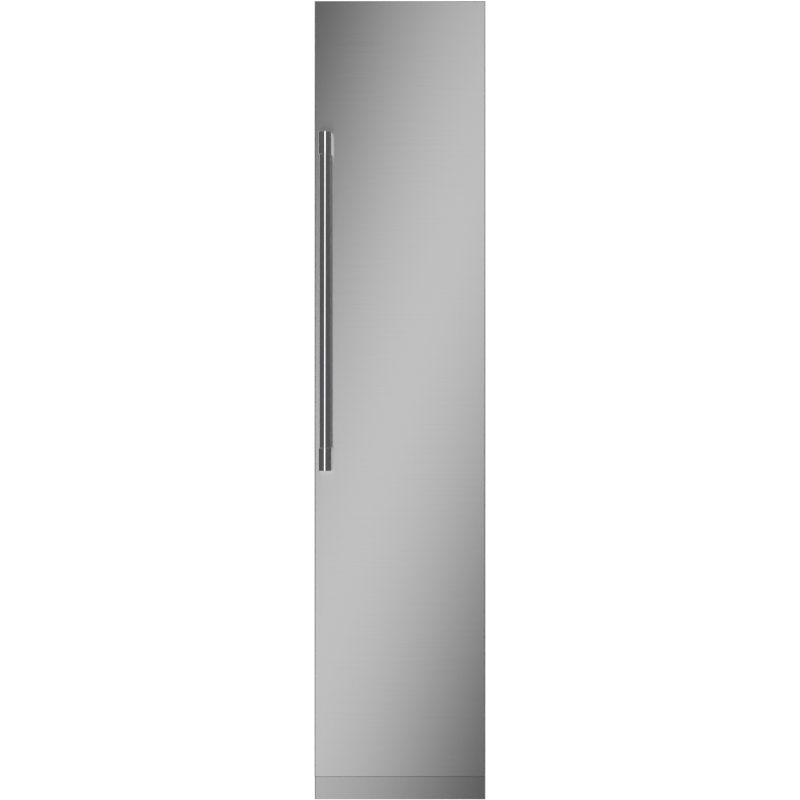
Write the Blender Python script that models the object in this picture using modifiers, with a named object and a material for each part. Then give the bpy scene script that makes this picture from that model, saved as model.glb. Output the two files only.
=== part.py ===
"""Column freezer with one full-height hinged door, in metres with +Z up.

The front faces -Y. The origin lies on the floor, under the middle of the closed unit with its handle.
"""
import math

import bmesh
import bpy
from mathutils import Matrix, Vector

# Clearance left between two pieces that touch, and how far a cutter runs past what it cuts
SEAT_GAP = 0.0003
CUT_OVERRUN = 0.004

# Overall sizes of the unit
UNIT_WIDTH = 0.4565
UNIT_HEIGHT = 2.1336

# Cabinet
CASE_DEPTH = 0.528
CASE_SIDE_INSET = 0.00275
CASE_TOP_DROP = 0.0216
CASE_SHEET = 0.0015
FRAME_SHEET = 0.002
DECK_Z = 0.290
FOAM_BELOW = 0.042
FOAM_ABOVE = 0.050
FOAM_SIDE = 0.042
FOAM_BACK = 0.069
LINER_WALL = 0.002

# Door, from its inner face out to the handle
GASKET_DEPTH = 0.010
CORE_DEPTH = 0.052
PANEL_DEPTH = 0.020
HANDLE_REACH = 0.064
SKIN_SHEET = 0.0012
SKIN_EDGE_RADIUS = 0.003
CORE_SIDE_INSET = 0.003
CORE_END_INSET = 0.0155
CORE_TOP_INSET = 0.0256
DOOR_LINER_RISE = 0.006
DOOR_LINER_WALL = 0.0015
DOOR_LINER_INSET = 0.010
GASKET_WIDTH = 0.018
GASKET_OUTSET = 0.024

# Handle
HANDLE_EDGE_OFFSET = 0.0310
HANDLE_BOTTOM = 0.881
HANDLE_LENGTH = 0.8987
HANDLE_BAR_RADIUS = 0.0147
HANDLE_END_RADIUS = 0.0170
HANDLE_END_LENGTH = 0.0607
HANDLE_SPIGOT_RADIUS = 0.0095
HANDLE_SPIGOT_LENGTH = 0.018

# Door hinge: a vertical pin above and below the door
HINGE_SIDE_OFFSET = 0.02325
HINGE_CASE_OFFSET = 0.044
HINGE_PLATE = 0.004
HINGE_PLATE_WIDTH = 0.080
HINGE_ARM_WIDTH = 0.040
HINGE_SEAT_DEPTH = 0.020
HINGE_KNUCKLE_RADIUS = 0.012
HINGE_BOSS_RADIUS = 0.010
PIN_RADIUS = 0.006
PIN_HEAD_RADIUS = 0.009
PIN_HEAD_HEIGHT = 0.0025
PIN_DOOR_DEPTH = 0.022

# Toe kick and base frame
TOE_CLEARANCE = 0.0009
TOE_HEIGHT = 0.0604
TOE_SEAM = 0.0012
TOE_SETBACK = 0.005
TOE_SHEET = 0.0015
TOE_LIP = 0.012
TOE_LAP = 0.020
BASE_RISE = 0.0007
BASE_HEIGHT = 0.034
BASE_SHEET = 0.002
BASE_FRONT_INSET = 0.006
BASE_REAR_INSET = 0.002

# Levelling feet and rear rollers
FOOT_SIDE_INSET = 0.0335
FOOT_SETBACK = 0.036
FOOT_PAD_RADIUS = 0.018
FOOT_PAD_HEIGHT = 0.010
FOOT_RIM_HEIGHT = 0.006
FOOT_STEM_RADIUS = 0.005
FOOT_STEM_LENGTH = 0.080
FOOT_NUT_RADIUS = 0.010
FOOT_NUT_HEIGHT = 0.016
ROLLER_SIDE_INSET = 0.0385
ROLLER_REAR_INSET = 0.055
ROLLER_RADIUS = 0.017
ROLLER_WIDTH = 0.022
ROLLER_SIDE_CLEARANCE = 0.002
ROLLER_AXLE_RADIUS = 0.004
ROLLER_CHEEK = 0.002
ROLLER_CHEEK_LENGTH = 0.034
ROLLER_CHEEK_DROP = 0.008

# Machine bay
GRILLE_BORDER = 0.024
GRILLE_SLOT = 0.007
GRILLE_PITCH = 0.018
COVER_RECESS = 0.0035
CONDENSER_LEFT_INSET = 0.0537
CONDENSER_RIGHT_INSET = 0.1537
CONDENSER_DEPTH = 0.055
CONDENSER_HEIGHT = 0.200
CONDENSER_SETBACK = 0.056
FIN_THICKNESS = 0.005
FIN_PITCH = 0.015
FIN_HEADER = 0.010
SHROUD_DEPTH = 0.058
SHROUD_SHEET = 0.002
BAY_FAN_EDGE = 0.020
BAY_MOTOR_RADIUS = 0.028
BAY_MOTOR_LENGTH = 0.030
MOTOR_STRAP_WIDTH = 0.024
MOTOR_STRAP_THICKNESS = 0.003
COMPRESSOR_RADIUS = 0.068
COMPRESSOR_HEIGHT = 0.150
COMPRESSOR_EDGE = 0.030
COMPRESSOR_RIGHT_INSET = 0.1057
COMPRESSOR_REAR_INSET = 0.138
COMPRESSOR_FOOT = 0.150
COMPRESSOR_FOOT_PLATE = 0.003
GROMMET_RADIUS = 0.010
GROMMET_HEIGHT = 0.009
GROMMET_INSET = 0.016
DRAIN_PAN_LEFT_INSET = 0.0187
DRAIN_PAN_CLEARANCE = 0.028
DRAIN_PAN_DEPTH = 0.200
DRAIN_PAN_HEIGHT = 0.032
DRAIN_PAN_WALL = 0.002
DRAIN_PAN_REAR_INSET = 0.028
VALVE_WIDTH = 0.040
VALVE_DEPTH = 0.030
VALVE_HEIGHT = 0.038
VALVE_EDGE = 0.003
VALVE_LEFT_INSET = 0.0637
VALVE_Z = 0.150
VALVE_STUB_RADIUS = 0.008
VALVE_STUB_LENGTH = 0.022
INLET_WIDTH = 0.030
INLET_HEIGHT = 0.024
INLET_DEPTH = 0.024
INLET_FLANGE = 0.008
INLET_FLANGE_THICKNESS = 0.0025
INLET_WALL = 0.003
INLET_RIGHT_INSET = 0.0737
INLET_Z = 0.235

# Cold circuit behind the storage space
COLD_COVER_THICKNESS = 0.003
COLD_CHAMBER = 0.062
COLD_COVER_BORDER = 0.030
COLD_SLOT = 0.008
COLD_SLOT_PITCH = 0.020
COLD_SLOT_COUNT = 5
EVAPORATOR_SIDE_INSET = 0.0297
EVAPORATOR_DEPTH = 0.045
EVAPORATOR_HEIGHT = 0.300
EVAPORATOR_RISE = 0.100
COLD_FAN_RADIUS = 0.055
COLD_FAN_DROP = 0.1445
COLD_MOTOR_RADIUS = 0.022
COLD_MOTOR_LENGTH = 0.026

# Fans
FAN_HUB_SHARE = 0.28
FAN_BLADE_COUNT = 5
FAN_BLADE_THICKNESS = 0.002
FAN_BLADE_CHORD_SHARE = 0.50
FAN_PITCH_DEGREES = 28
FAN_HUB_DEPTH = 0.016
FAN_BORE_DEPTH = 0.012
FAN_MOTOR_CLEARANCE = 0.0035
FAN_TIP_CLEARANCE = 0.004
SHAFT_RADIUS = 0.003
SHAFT_LENGTH = 0.014

# Storage space
STORAGE_SETBACK = 0.091
SHELF_THICKNESS = 0.005
DRAWER_STACK_HEIGHT = 0.6045
ICE_SPACE_HEIGHT = 0.3582
LEDGE_WIDTH = 0.008
LEDGE_HEIGHT = 0.006
DRAWER_BACK_CLEARANCE = 0.015
DRAWER_WALL = 0.0025
DRAWER_FRONT = 0.004
DRAWER_SPACING = 0.012
DRAWER_GRIP_WIDTH = 0.110
DRAWER_GRIP_DEPTH = 0.018
RUNNER_WIDTH = 0.008
RUNNER_THICKNESS = 0.004
RUNNER_SETBACK = 0.010
RAIL_THICKNESS = 0.0197
RAIL_CLEARANCE = 0.002
RAIL_LEDGE = 0.006
ICE_BIN_HEIGHT = 0.190

# Door bins
BIN_HEIGHT = 0.085
BIN_WALL = 0.002
BIN_CLEARANCE = 0.010
BIN_FIRST_RISE = 0.0845
BIN_TOP_SPACE = 0.4982
BIN_COUNT = 4

# Ice maker
MOLD_RADIUS = 0.034
MOLD_WALL = 0.008
MOLD_FLOOR = 0.010
MOLD_LENGTH = 0.190
MOLD_AXIS_DROP = 0.058
MOLD_AXIS_INSET = 0.052
ICE_HEAD_DEPTH = 0.050
ICE_HEAD_RISE = 0.030
ICE_HEAD_SETBACK = 0.040
EJECTOR_SHAFT_RADIUS = 0.005
EJECTOR_FINGER_LENGTH = 0.029
EJECTOR_FINGER_WIDTH = 0.008
EJECTOR_FINGER_THICKNESS = 0.004
EJECTOR_FINGER_COUNT = 6
EJECTOR_END_CLEARANCE = 0.010
FEELER_RADIUS = 0.002
FEELER_OFFSET = 0.013
FEELER_DROP = 0.035
FEELER_REACH = 0.085
FEELER_LENGTH = 0.140
FEELER_STUB = 0.012
FEELER_BEARING = 0.006
FEELER_BEARING_LENGTH = 0.020
FEELER_SLOPE_DEGREES = 12

# Controls and lights
CONTROL_WIDTH = 0.180
CONTROL_DEPTH = 0.060
CONTROL_HEIGHT = 0.030
CONTROL_SETBACK = 0.011
BUTTON_RADIUS = 0.0065
BUTTON_LENGTH = 0.006
BUTTON_PROUD = 0.0012
BUTTON_TRAVEL = 0.001
BUTTON_POWER_X = -0.055
BUTTON_TEMPERATURE_X = 0.055
LIGHT_THICKNESS = 0.003
LIGHT_WIDTH = 0.012
LIGHT_SETBACK = 0.036
LIGHT_RISE = 0.060
LIGHT_TOP_INSET = 0.1082

# Places that several pieces share
UNIT_DEPTH = CASE_DEPTH + GASKET_DEPTH + CORE_DEPTH + PANEL_DEPTH + HANDLE_REACH
BACK_Y = UNIT_DEPTH / 2
CASE_FRONT_Y = BACK_Y - CASE_DEPTH
CORE_REAR_Y = CASE_FRONT_Y - GASKET_DEPTH
PANEL_REAR_Y = CORE_REAR_Y - CORE_DEPTH
DOOR_FRONT_Y = PANEL_REAR_Y - PANEL_DEPTH
TOE_TOP = TOE_CLEARANCE + TOE_HEIGHT
DOOR_BOTTOM = TOE_TOP + TOE_SEAM
BASE_TOP = TOE_TOP + BASE_RISE
CASE_HALF = UNIT_WIDTH / 2 - CASE_SIDE_INSET
CASE_TOP = UNIT_HEIGHT - CASE_TOP_DROP
INSIDE_HALF = CASE_HALF - CASE_SHEET - SEAT_GAP
INSIDE_TOP = CASE_TOP - CASE_SHEET - SEAT_GAP
INSIDE_BACK = BACK_Y - CASE_SHEET - SEAT_GAP
BAY_FLOOR = BASE_TOP + SEAT_GAP
DECK_TOP = DECK_Z + CASE_SHEET
LINER_LOW = Vector((-INSIDE_HALF + FOAM_SIDE, CASE_FRONT_Y + FRAME_SHEET + SEAT_GAP, DECK_TOP + FOAM_BELOW))
LINER_HIGH = Vector((INSIDE_HALF - FOAM_SIDE, INSIDE_BACK - FOAM_BACK, INSIDE_TOP - FOAM_ABOVE))
CAVITY_HALF = LINER_HIGH.x - LINER_WALL
CAVITY_FLOOR = LINER_LOW.z + LINER_WALL
CAVITY_TOP = LINER_HIGH.z - LINER_WALL
CAVITY_BACK = LINER_HIGH.y - LINER_WALL
STORAGE_FRONT_Y = CASE_FRONT_Y + STORAGE_SETBACK
COLD_COVER_REAR_Y = CAVITY_BACK - COLD_CHAMBER
COLD_COVER_Y = COLD_COVER_REAR_Y - COLD_COVER_THICKNESS
SHELF_LOWER_Z = CAVITY_FLOOR + DRAWER_STACK_HEIGHT
SHELF_ICE_Z = CAVITY_TOP - ICE_SPACE_HEIGHT
SHELF_UPPER_Z = (SHELF_LOWER_Z + SHELF_ICE_Z) / 2
DRAWER_WIDTH = 2 * (CAVITY_HALF - RAIL_THICKNESS - RAIL_CLEARANCE - RUNNER_WIDTH)
COMPRESSOR_X = INSIDE_HALF - COMPRESSOR_RIGHT_INSET
INLET_X = INSIDE_HALF - INLET_RIGHT_INSET
HINGE_X = UNIT_WIDTH / 2 - HINGE_SIDE_OFFSET
HINGE_Y = CASE_FRONT_Y - HINGE_CASE_OFFSET
CORE_BOTTOM = DOOR_BOTTOM + CORE_END_INSET
CORE_TOP = UNIT_HEIGHT - CORE_TOP_INSET
HANDLE_X = -UNIT_WIDTH / 2 + HANDLE_EDGE_OFFSET
HANDLE_Y = DOOR_FRONT_Y - HANDLE_REACH + HANDLE_END_RADIUS
DRAWER_TOP_LIMIT = SHELF_LOWER_Z - SEAT_GAP
DRAWER_HEIGHT = (DRAWER_TOP_LIMIT - CAVITY_FLOOR) / 2 - DRAWER_SPACING
DOOR_LINER_REAR_Y = CORE_REAR_Y + DOOR_LINER_RISE
MOLD_AXIS_X = -CAVITY_HALF + MOLD_AXIS_INSET
MOLD_AXIS_Z = CAVITY_TOP - MOLD_AXIS_DROP
ICE_HEAD_FRONT_Y = STORAGE_FRONT_Y + ICE_HEAD_SETBACK

STEEL = ("stainless", (0.42, 0.42, 0.43), 0.30, 1.0)
BRIGHT_STEEL = ("bright_steel", (0.55, 0.55, 0.56), 0.16, 1.0)
ZINC_SHEET = ("zinc_sheet", (0.36, 0.37, 0.38), 0.45, 1.0)
CAST_METAL = ("hinge_steel", (0.30, 0.30, 0.31), 0.40, 1.0)
GREY_PAINT = ("grey_paint", (0.30, 0.30, 0.31), 0.50, 0.0)
BLACK_PAINT = ("black_paint", (0.02, 0.02, 0.02), 0.35, 0.0)
WHITE_PLASTIC = ("white_plastic", (0.80, 0.81, 0.82), 0.40, 0.0)
GREY_PLASTIC = ("grey_plastic", (0.22, 0.22, 0.23), 0.50, 0.0)
CLEAR_PLASTIC = ("clear_plastic", (0.70, 0.76, 0.80), 0.15, 0.0)
GLASS = ("shelf_glass", (0.62, 0.74, 0.72), 0.05, 0.0)
RUBBER = ("rubber", (0.05, 0.05, 0.05), 0.70, 0.0)
FOAM = ("foam", (0.80, 0.72, 0.45), 0.90, 0.0)
FIN_ALUMINIUM = ("fin_aluminium", (0.66, 0.67, 0.68), 0.35, 1.0)
LIGHT_COVER = ("light_cover", (0.90, 0.92, 0.95), 0.30, 0.0)

for leftover in list(bpy.data.objects):
    bpy.data.objects.remove(leftover, do_unlink=True)

parts = bpy.data.collections.new("column_freezer")
cutters = bpy.data.collections.new("cutters")
bpy.context.scene.collection.children.link(parts)
bpy.context.scene.collection.children.link(cutters)


def material(finish):
    """One Principled material for each finish, made at its first use."""
    name, colour, roughness, metallic = finish
    made = bpy.data.materials.get(name)
    if made is None:
        made = bpy.data.materials.new(name)
        made.use_nodes = True
        shader = made.node_tree.nodes["Principled BSDF"]
        shader.inputs["Base Color"].default_value = (*colour, 1.0)
        shader.inputs["Roughness"].default_value = roughness
        shader.inputs["Metallic"].default_value = metallic
    return made


def new_piece(name, mesh, finish, place=(0, 0, 0), smooth=False):
    """Put a mesh into the scene as a piece, or as a cutter where it has no finish."""
    piece = bpy.data.objects.new(name, mesh)
    piece.location = place
    if finish is None:
        cutters.objects.link(piece)
        piece.hide_render = True
        piece.display_type = "WIRE"
    else:
        parts.objects.link(piece)
        mesh.materials.append(material(finish))
    if smooth:
        mesh.shade_smooth()
        mesh.set_sharp_from_angle(angle=math.radians(35))
    return piece


def mesh_from(shape, name):
    mesh = bpy.data.meshes.new(name)
    shape.to_mesh(mesh)
    shape.free()
    return mesh


def add_cube(shape, low, high):
    """Add a cube primitive that spans two corners, and return its vertices."""
    low, high = Vector(low), Vector(high)
    size = Matrix.Diagonal((*(high - low), 1.0))
    matrix = Matrix.Translation((low + high) / 2) @ size
    return bmesh.ops.create_cube(shape, size=1.0, matrix=matrix)["verts"]


def box(name, low, high, finish, bevel=0.0):
    """A solid block, with its origin at its middle."""
    low, high = Vector(low), Vector(high)
    middle = (low + high) / 2
    shape = bmesh.new()
    add_cube(shape, low - middle, high - middle)
    piece = new_piece(name, mesh_from(shape, name), finish, middle)
    if bevel:
        add_bevel(piece, bevel, 2)
    return piece


def boxes(name, corners, finish=None):
    """Several separate blocks in one object, as one cutter for a row of slots."""
    shape = bmesh.new()
    for low, high in corners:
        add_cube(shape, low, high)
    return new_piece(name, mesh_from(shape, name), finish)


def add_bevel(piece, width, segments):
    bevel = piece.modifiers.new("Edges", "BEVEL")
    bevel.width = width
    bevel.segments = segments
    bevel.limit_method = "ANGLE"
    return bevel


def sheet_box(name, low, high, wall, open_sides, finish, front_radius=0.0):
    """A folded sheet or moulded tray: a box with sides missing, thickened inwards."""
    low, high = Vector(low), Vector(high)
    middle = (low + high) / 2
    shape = bmesh.new()
    add_cube(shape, low - middle, high - middle)
    directions = {"+X": Vector((1, 0, 0)), "-X": Vector((-1, 0, 0)), "+Y": Vector((0, 1, 0)),
                  "-Y": Vector((0, -1, 0)), "+Z": Vector((0, 0, 1)), "-Z": Vector((0, 0, -1))}
    shape.normal_update()
    removed = [face for face in shape.faces
               if any(face.normal.dot(directions[side]) > 0.9 for side in open_sides)]
    bmesh.ops.delete(shape, geom=removed, context="FACES")
    if front_radius:
        front = [edge for edge in shape.edges
                 if all(abs(vertex.co.y - (low - middle).y) < front_radius for vertex in edge.verts)]
        bmesh.ops.bevel(shape, geom=front, offset=front_radius, segments=3, profile=0.5,
                        affect="EDGES", clamp_overlap=True)
    piece = new_piece(name, mesh_from(shape, name), finish, middle)
    solidify = piece.modifiers.new("Sheet", "SOLIDIFY")
    solidify.thickness = wall
    solidify.offset = -1.0
    solidify.use_even_offset = True
    return piece


def cylinder(name, middle, radius, length, axis, finish, segments=32):
    """A round bar along X, Y or Z, with its origin at its middle."""
    turns = {"X": Matrix.Rotation(math.pi / 2, 4, "Y"), "Y": Matrix.Rotation(math.pi / 2, 4, "X"),
             "Z": Matrix.Identity(4)}
    shape = bmesh.new()
    bmesh.ops.create_cone(shape, cap_ends=True, segments=segments, radius1=radius, radius2=radius,
                          depth=length, matrix=turns[axis])
    return new_piece(name, mesh_from(shape, name), finish, middle, smooth=True)


def turned(name, profile, place, finish, segments=32):
    """A turned piece: a profile of radius and height, top to bottom, swept around Z."""
    shape = bmesh.new()
    points = [shape.verts.new((radius, 0, height)) for radius, height in profile]
    for upper, lower in zip(points, points[1:]):
        shape.edges.new((upper, lower))
    piece = new_piece(name, mesh_from(shape, name), finish, place)
    screw = piece.modifiers.new("Turn", "SCREW")
    screw.axis = "Z"
    screw.steps = segments
    screw.render_steps = segments
    screw.use_merge_vertices = True
    screw.merge_threshold = 0.00001
    screw.use_smooth_shade = True
    return piece


def boolean(piece, other, operation):
    step = piece.modifiers.new(other.name, "BOOLEAN")
    step.operation = operation
    step.solver = "EXACT"
    step.object = other
    return piece


def cut(piece, *others):
    for other in others:
        boolean(piece, other, "DIFFERENCE")
    return piece


def unite(piece, *others):
    for other in others:
        boolean(piece, other, "UNION")
    return piece


def set_origin(piece, point):
    """Move a piece's origin without moving the piece, so that it turns or slides there."""
    shift = Vector(point) - piece.location
    piece.data.transform(Matrix.Translation(-shift))
    piece.location = point
    return piece


def cabinet():
    """Outer wrapper, rear sheet and deck, with the foam that fills the wall round the liner."""
    sheet_box("case_shell", (-CASE_HALF, CASE_FRONT_Y, BASE_TOP + SEAT_GAP),
              (CASE_HALF, BACK_Y, CASE_TOP), CASE_SHEET, ("-Y", "+Y", "-Z"), ZINC_SHEET)
    box("back_panel", (-INSIDE_HALF, BACK_Y - CASE_SHEET, DECK_TOP + SEAT_GAP),
        (INSIDE_HALF, BACK_Y, INSIDE_TOP), ZINC_SHEET)
    box("machine_deck", (-INSIDE_HALF, CASE_FRONT_Y + FRAME_SHEET + SEAT_GAP, DECK_Z),
        (INSIDE_HALF, INSIDE_BACK, DECK_TOP), ZINC_SHEET)
    foam = box("insulation_foam", (-INSIDE_HALF + SEAT_GAP, LINER_LOW.y, DECK_TOP + SEAT_GAP),
               (INSIDE_HALF - SEAT_GAP, INSIDE_BACK, INSIDE_TOP - SEAT_GAP), FOAM)
    gap = Vector((SEAT_GAP, SEAT_GAP, SEAT_GAP))
    overrun = Vector((0, CUT_OVERRUN, 0))
    cut(foam, box("foam_cavity", LINER_LOW - gap - overrun, LINER_HIGH + gap, None))


def liner():
    """Moulded inner box with a ledge on each side under the two upper shelves."""
    inner = sheet_box("inner_liner", LINER_LOW, LINER_HIGH, LINER_WALL, ("-Y",), WHITE_PLASTIC)
    for label, height in (("upper", SHELF_UPPER_Z), ("ice", SHELF_ICE_Z)):
        for side in (-1, 1):
            wall = side * (CAVITY_HALF + LINER_WALL / 2)
            inside = side * (CAVITY_HALF - LEDGE_WIDTH)
            ledge = box(f"ledge_{label}_{'left' if side < 0 else 'right'}",
                        (min(wall, inside), STORAGE_FRONT_Y, height - LEDGE_HEIGHT),
                        (max(wall, inside), COLD_COVER_Y - SEAT_GAP, height), None)
            unite(inner, ledge)


def front_frame():
    """Ring on the cabinet's front that the door gasket seals against."""
    ring = box("front_frame", (-INSIDE_HALF, CASE_FRONT_Y, DECK_Z),
               (INSIDE_HALF, CASE_FRONT_Y + FRAME_SHEET, INSIDE_TOP), GREY_PAINT)
    cut(ring, box("frame_opening", (-CAVITY_HALF, CASE_FRONT_Y - CUT_OVERRUN, CAVITY_FLOOR),
                  (CAVITY_HALF, CASE_FRONT_Y + FRAME_SHEET + CUT_OVERRUN, CAVITY_TOP), None))


def slot_rows(low, high, border, slot, pitch):
    """Corners of the level slots that fill a plate inside its border."""
    count = int((high.z - low.z - 2 * border - slot) / pitch) + 1
    first = (low.z + high.z - (count - 1) * pitch - slot) / 2
    return [((low.x + border, low.y - CUT_OVERRUN, first + row * pitch),
             (high.x - border, high.y + CUT_OVERRUN, first + row * pitch + slot))
            for row in range(count)]


def bay_panels():
    """Slotted front grille and rear cover of the machine bay, with the inlet's opening."""
    grille_low = Vector((-INSIDE_HALF, CASE_FRONT_Y, BAY_FLOOR + HINGE_PLATE + SEAT_GAP))
    grille_high = Vector((INSIDE_HALF, CASE_FRONT_Y + FRAME_SHEET, DECK_Z - SEAT_GAP))
    grille = box("front_grille", grille_low, grille_high, BLACK_PAINT)
    cut(grille, boxes("grille_slots", slot_rows(grille_low, grille_high, GRILLE_BORDER, GRILLE_SLOT,
                                                GRILLE_PITCH)))
    cover_low = Vector((-INSIDE_HALF, BACK_Y - COVER_RECESS - CASE_SHEET, BAY_FLOOR))
    cover_high = Vector((INSIDE_HALF, BACK_Y - COVER_RECESS, DECK_Z - SEAT_GAP))
    cover = box("machine_cover", cover_low, cover_high, ZINC_SHEET)
    vent_high = Vector((INLET_X - INLET_WIDTH, cover_high.y, cover_high.z))
    cut(cover, boxes("cover_slots", slot_rows(cover_low, vent_high, GRILLE_BORDER, GRILLE_SLOT,
                                              GRILLE_PITCH)))
    hole = Vector((INLET_WIDTH / 2 + SEAT_GAP, CUT_OVERRUN + CASE_SHEET, INLET_HEIGHT / 2 + SEAT_GAP))
    centre = Vector((INLET_X, cover_high.y, INLET_Z))
    cut(cover, box("inlet_opening", centre - hole, centre + hole, None))


def base_frame():
    """Base sheet with folded-down sides and a threaded nut over each front foot."""
    half = UNIT_WIDTH / 2 - TOE_SHEET - SEAT_GAP
    frame = sheet_box("base_frame", (-half, CASE_FRONT_Y + BASE_FRONT_INSET, BASE_TOP - BASE_HEIGHT),
                      (half, BACK_Y - BASE_REAR_INSET, BASE_TOP), BASE_SHEET, ("-Z",), GREY_PAINT)
    for label, foot in foot_places():
        nut_middle = BASE_TOP - BASE_SHEET / 2 - FOOT_NUT_HEIGHT / 2
        unite(frame, cylinder(f"foot_nut_{label}", (foot.x, foot.y, nut_middle), FOOT_NUT_RADIUS,
                              FOOT_NUT_HEIGHT, "Z", None, 6))
        bore_length = FOOT_NUT_HEIGHT + BASE_SHEET + 2 * CUT_OVERRUN
        cut(frame, cylinder(f"foot_bore_{label}", (foot.x, foot.y, nut_middle),
                            FOOT_STEM_RADIUS + SEAT_GAP, bore_length, "Z", None, 16))


def foot_places():
    side = UNIT_WIDTH / 2 - FOOT_SIDE_INSET
    depth = CASE_FRONT_Y + FOOT_SETBACK
    return (("left", Vector((-side, depth, 0))), ("right", Vector((side, depth, 0))))


def feet():
    """Levelling feet: a round pad on a threaded stem."""
    for label, foot in foot_places():
        stem_top = FOOT_PAD_HEIGHT + FOOT_STEM_LENGTH
        profile = ((0, stem_top), (FOOT_STEM_RADIUS, stem_top), (FOOT_STEM_RADIUS, FOOT_PAD_HEIGHT),
                   (FOOT_PAD_RADIUS, FOOT_RIM_HEIGHT), (FOOT_PAD_RADIUS, 0), (0, 0))
        turned(f"foot_{label}", profile, foot, GREY_PLASTIC, 16)


def rollers():
    """Rear rollers, each on the axle of its bracket under the base sheet."""
    side = UNIT_WIDTH / 2 - ROLLER_SIDE_INSET
    depth = BACK_Y - ROLLER_REAR_INSET
    outer_half = ROLLER_WIDTH / 2 + ROLLER_SIDE_CLEARANCE + ROLLER_CHEEK
    for label, sign in (("left", -1), ("right", 1)):
        axle = Vector((sign * side, depth, ROLLER_RADIUS))
        bracket = sheet_box(f"roller_bracket_{label}",
                            (axle.x - outer_half, depth - ROLLER_CHEEK_LENGTH / 2,
                             ROLLER_RADIUS - ROLLER_CHEEK_DROP),
                            (axle.x + outer_half, depth + ROLLER_CHEEK_LENGTH / 2,
                             BASE_TOP - BASE_SHEET - SEAT_GAP),
                            ROLLER_CHEEK, ("-Z", "+Y", "-Y"), ZINC_SHEET)
        unite(bracket, cylinder(f"roller_axle_{label}", axle, ROLLER_AXLE_RADIUS,
                                2 * outer_half - ROLLER_CHEEK, "X", None, 16))
        roller = cylinder(f"rear_roller_{label}", axle, ROLLER_RADIUS, ROLLER_WIDTH, "X", GREY_PLASTIC)
        cut(roller, cylinder(f"roller_bore_{label}", axle, ROLLER_AXLE_RADIUS + SEAT_GAP,
                             ROLLER_WIDTH + 2 * CUT_OVERRUN, "X", None, 16))


def toe_kick():
    """Folded toe kick that laps over the sides of the base frame, open behind its lips."""
    front = DOOR_FRONT_Y + TOE_SETBACK
    rear = CASE_FRONT_Y + BASE_FRONT_INSET + TOE_LAP
    half = UNIT_WIDTH / 2
    kick = sheet_box("toe_kick", (-half, front, TOE_CLEARANCE), (half, rear, TOE_TOP), TOE_SHEET,
                     ("+Y",), STEEL, SKIN_EDGE_RADIUS)
    inner = half - TOE_SHEET
    cut(kick, box("toe_opening", (-inner, front + TOE_LIP, TOE_CLEARANCE - CUT_OVERRUN),
                  (inner, rear + CUT_OVERRUN, TOE_TOP + CUT_OVERRUN), None))


def finned_block(name, low, high, finish):
    """Heat exchanger: upright fins between a lower and an upper header."""
    block = box(name, low, high, finish)
    count = int((high.x - low.x - FIN_THICKNESS) / FIN_PITCH)
    first = (low.x + high.x - count * FIN_PITCH + FIN_THICKNESS) / 2
    slots = [((first + row * FIN_PITCH, low.y - CUT_OVERRUN, low.z + FIN_HEADER),
              (first + (row + 1) * FIN_PITCH - FIN_THICKNESS, high.y + CUT_OVERRUN,
               high.z - FIN_HEADER)) for row in range(count)]
    return cut(block, boxes(f"{name}_slots", slots))


def fan_blade(name, centre, radius, finish):
    """Axial fan about Y: pitched blades round a hub with a blind shaft bore."""
    hub_radius = radius * FAN_HUB_SHARE
    fan = cylinder(name, centre, hub_radius, FAN_HUB_DEPTH, "Y", finish, 24)
    chord = radius * FAN_BLADE_CHORD_SHARE
    for index in range(FAN_BLADE_COUNT):
        blade = box(f"{name}_vane_{index}",
                    centre + Vector((hub_radius / 2, -FAN_BLADE_THICKNESS / 2, -chord / 2)),
                    centre + Vector((radius, FAN_BLADE_THICKNESS / 2, chord / 2)), None)
        set_origin(blade, centre)
        pitch = Matrix.Rotation(math.radians(FAN_PITCH_DEGREES), 4, "X")
        turn = Matrix.Rotation(2 * math.pi * index / FAN_BLADE_COUNT, 4, "Y")
        blade.data.transform(turn @ pitch)
        unite(fan, blade)
    bore_middle = centre + Vector((0, (FAN_HUB_DEPTH - FAN_BORE_DEPTH + CUT_OVERRUN) / 2, 0))
    cut(fan, cylinder(f"{name}_bore", bore_middle, SHAFT_RADIUS + SEAT_GAP, FAN_BORE_DEPTH + CUT_OVERRUN,
                      "Y", None, 12))
    return fan


def motor_with_shaft(name, front, radius, length, finish):
    """Motor can whose shaft points to -Y, towards the fan."""
    can = cylinder(name, front + Vector((0, length / 2, 0)), radius, length, "Y", finish, 24)
    root = SHAFT_RADIUS
    shaft_middle = front - Vector((0, (SHAFT_LENGTH - root) / 2, 0))
    unite(can, cylinder(f"{name}_shaft", shaft_middle, SHAFT_RADIUS, SHAFT_LENGTH + root, "Y", None, 12))
    return can


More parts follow.
